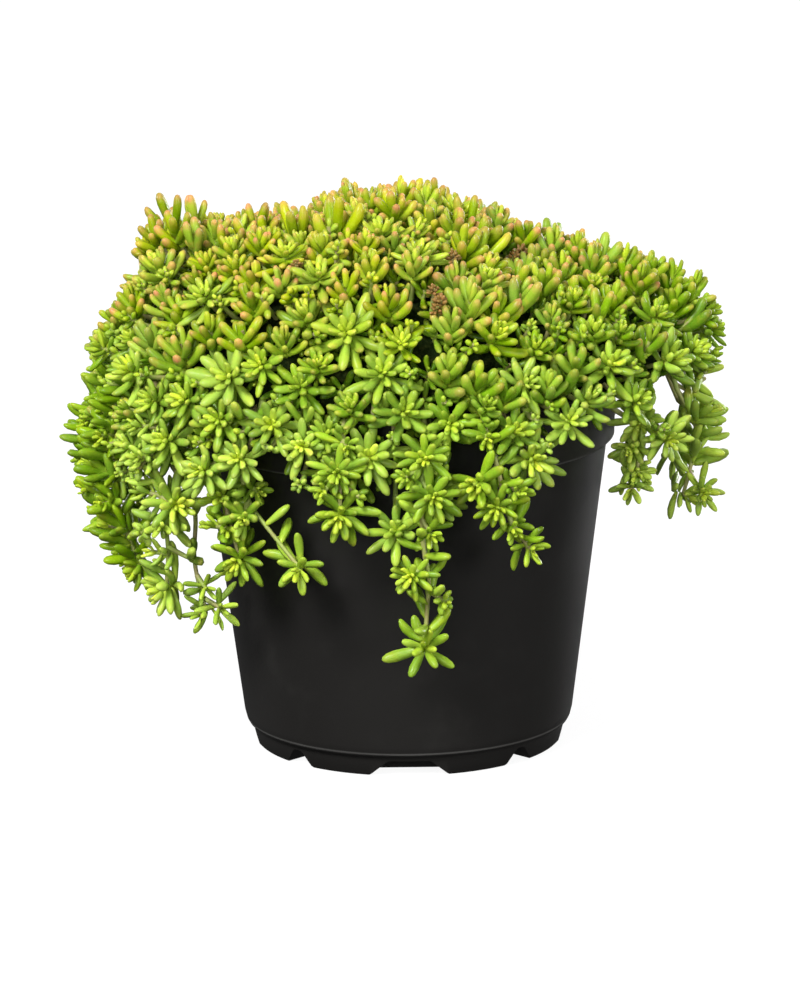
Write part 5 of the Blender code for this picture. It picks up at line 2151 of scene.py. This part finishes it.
class Dresser:
    """Makes the foliage pieces' meshes out of what has grown."""

    tints = ("youth", "blush", "tone", "pale", "shade", "sun", "dry")

    def __init__(self) -> None:
        """Press the leaves and mix the finishes."""
        self.press = LeafPress()
        self.materials = {Part.LEAF: LeafFinish().build(), Part.STEM: StemFinish().build(),
                          Part.UNDERSTORY: UnderstoryFinish().build()}

    def stem_mesh(self, name: str, stems: list[Stem]) -> bpy.types.Mesh:
        """All of a piece's stems as tapering tubes.

        Args:
            name: the mesh's name.
            stems: their lines.

        Returns:
            The mesh.
        """
        curve = bpy.data.curves.new(name, "CURVE")
        curve.dimensions = "3D"
        curve.bevel_depth = 1
        curve.bevel_resolution = 1
        curve.use_fill_caps = True
        for stem in stems:
            spline = curve.splines.new("POLY")
            spline.points.add(len(stem.points) - 1)
            low, high = stem.radii
            for index, (place, point) in enumerate(zip(spline.points, stem.points)):
                place.co = (*point, 1)
                place.radius = low + (high - low) * index / (len(stem.points) - 1)
        return applied(show(name, curve))

    def dress(self, name: str, growth: Growth,
              understory: bpy.types.Mesh | None = None) -> bpy.types.Object:
        """Join a node's leaves, stems and inner tangle into one piece.

        Args:
            name: the piece's name.
            growth: its leaves and stems.
            understory: the tangle inside it, if it has one.

        Returns:
            The piece.
        """
        bm = bmesh.new()
        along = []
        for leaf in growth.leaves:
            key = (leaf.form, leaf.bend)
            before = len(bm.verts)
            bm.from_mesh(self.press.meshes[key])
            bm.verts.ensure_lookup_table()
            bmesh.ops.transform(bm, matrix=leaf.matrix, verts=bm.verts[before:])
            along.append(self.press.along[key])
        leaf_faces = len(bm.faces)
        leaf_verts = len(bm.verts)
        bm.from_mesh(self.stem_mesh(name + "_stems", growth.stems))
        stem_faces = len(bm.faces)
        if understory:
            bm.from_mesh(understory)
        mesh = as_mesh(name, bm)
        for part in Part:
            mesh.materials.append(self.materials[part])
        parts = np.full(len(mesh.polygons), Part.UNDERSTORY.value)
        parts[:stem_faces] = Part.STEM.value
        parts[:leaf_faces] = Part.LEAF.value
        mesh.polygons.foreach_set("material_index", parts)
        counts = [len(shares) for shares in along]
        tinted = {tint: np.repeat([getattr(leaf, tint) for leaf in growth.leaves], counts)
                  for tint in self.tints}
        for name_of_tint, on_leaves in (*tinted.items(), ("along", np.concatenate(along))):
            values = np.zeros(len(mesh.vertices), np.float32)
            values[:leaf_verts] = on_leaves
            layer = mesh.attributes.new(name_of_tint, "FLOAT", "POINT")
            layer.data.foreach_set("value", values)
        return show(name, mesh)


@dataclass
class Studio:
    """The white floor, the soft lights and the surroundings, bright above and dim below."""

    floor_size: float = 12
    floor_colour: Triple = (0.12, 0.12, 0.12)
    floor_glow: float = 0.92
    dim: float = 0.05
    bright: float = 0.3
    horizon: float = -0.3
    zenith: float = 0.8
    aim: Triple = (0, 0, 0.14)
    lights: tuple[tuple[str, Triple, float, float], ...] = (
        ("key", (-1.15, -1.7, 2.0), 0.9, 99), ("front", (-0.5, -2.4, 0.7), 0.9, 19),
        ("fill", (1.9, -1.7, 0.7), 0.9, 31), ("back", (0.5, 1.6, 1.6), 1.2, 12),
        ("right_edge", (1.8, 2.0, 0.4), 1.6, 75), ("left_edge", (-2.2, 1.6, 0.5), 0.8, 22))

    def build(self) -> None:
        """Set up the floor, lights and world."""
        bm = bmesh.new()
        bmesh.ops.create_grid(bm, x_segments=1, y_segments=1, size=self.floor_size)
        floor = show("floor", as_mesh("floor", bm))
        paint = MaterialMaker("floor_paint")
        paint.shine(Base_Color=self.floor_colour, Roughness=0.9, Specular_IOR_Level=0.0,
                    Emission_Color=(1, 1, 1), Emission_Strength=self.floor_glow)
        floor.data.materials.append(paint.material)
        floor.visible_diffuse = False
        floor.visible_glossy = False
        for name, place, size, power in self.lights:
            self.light(name, Vector(place), size, power)
        self.surroundings()
        bpy.context.scene.view_settings.view_transform = "Standard"

    def light(self, name: str, place: Vector, size: float, power: float) -> None:
        """Add a square soft light that faces the plant.

        Args:
            name: the light's name.
            place: where it stands.
            size: its side.
            power: its power in watts.
        """
        data = bpy.data.lights.new(name, "AREA")
        data.size = size
        data.energy = power
        item = show(name, data)
        item.location = place
        item.rotation_euler = (Vector(self.aim) - place).to_track_quat("-Z", "Y").to_euler()

    def surroundings(self) -> None:
        """Light the world from above, with little from under the plant."""
        world = bpy.data.worlds.new("studio")
        world.use_nodes = True
        maker = NodeMaker(world.node_tree)
        direction = maker.node("ShaderNodeTexCoord", output="Generated")
        height = maker.node("ShaderNodeSeparateXYZ", inputs={0: direction}, output="Z")
        strength = maker.ramp(height, self.horizon, self.zenith)
        glow = world.node_tree.nodes["Background"]
        maker.feed(glow.inputs["Color"], (1, 1, 1))
        maker.feed(glow.inputs["Strength"], strength * (self.bright - self.dim) + self.dim)
        bpy.context.scene.world = world


def keep(piece: bpy.types.Object, node: str) -> None:
    """Tie a finished piece to the solid that it stands for.

    Args:
        piece: the piece.
        node: the solid that it replaces.
    """
    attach(piece, "root")
    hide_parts(node)
    LOG.info("%s stands for %s: %d faces", piece.name, node, len(piece.data.polygons))


def main() -> None:
    """Build the camera, the studio, the pot and the plant."""
    logging.basicConfig(level=logging.INFO, format="%(name)s: %(message)s")
    camera = PhotoCamera()
    camera.build()
    Studio().build()
    pot = Pot()
    keep(pot.build(), "pot")
    soil = frame["nodes"]["soil"].data
    soil.materials.clear()
    soil.materials.append(SoilFinish().build())
    mound = Mound()
    plant = Plant(mound, pot.shape, camera, Clearings(camera))
    plant.grow()
    dresser = Dresser()
    for name, growth in plant.trails.items():
        keep(dresser.dress(name + "_foliage", growth), name)
    for clump in plant.clumps:
        tangle = clump.understory(mound, plant.core_depth, plant.core_foot)
        piece = dresser.dress(clump.name + "_foliage", clump.growth, tangle)
        keep(piece, clump.name)


if __name__ == "__main__":
    main()
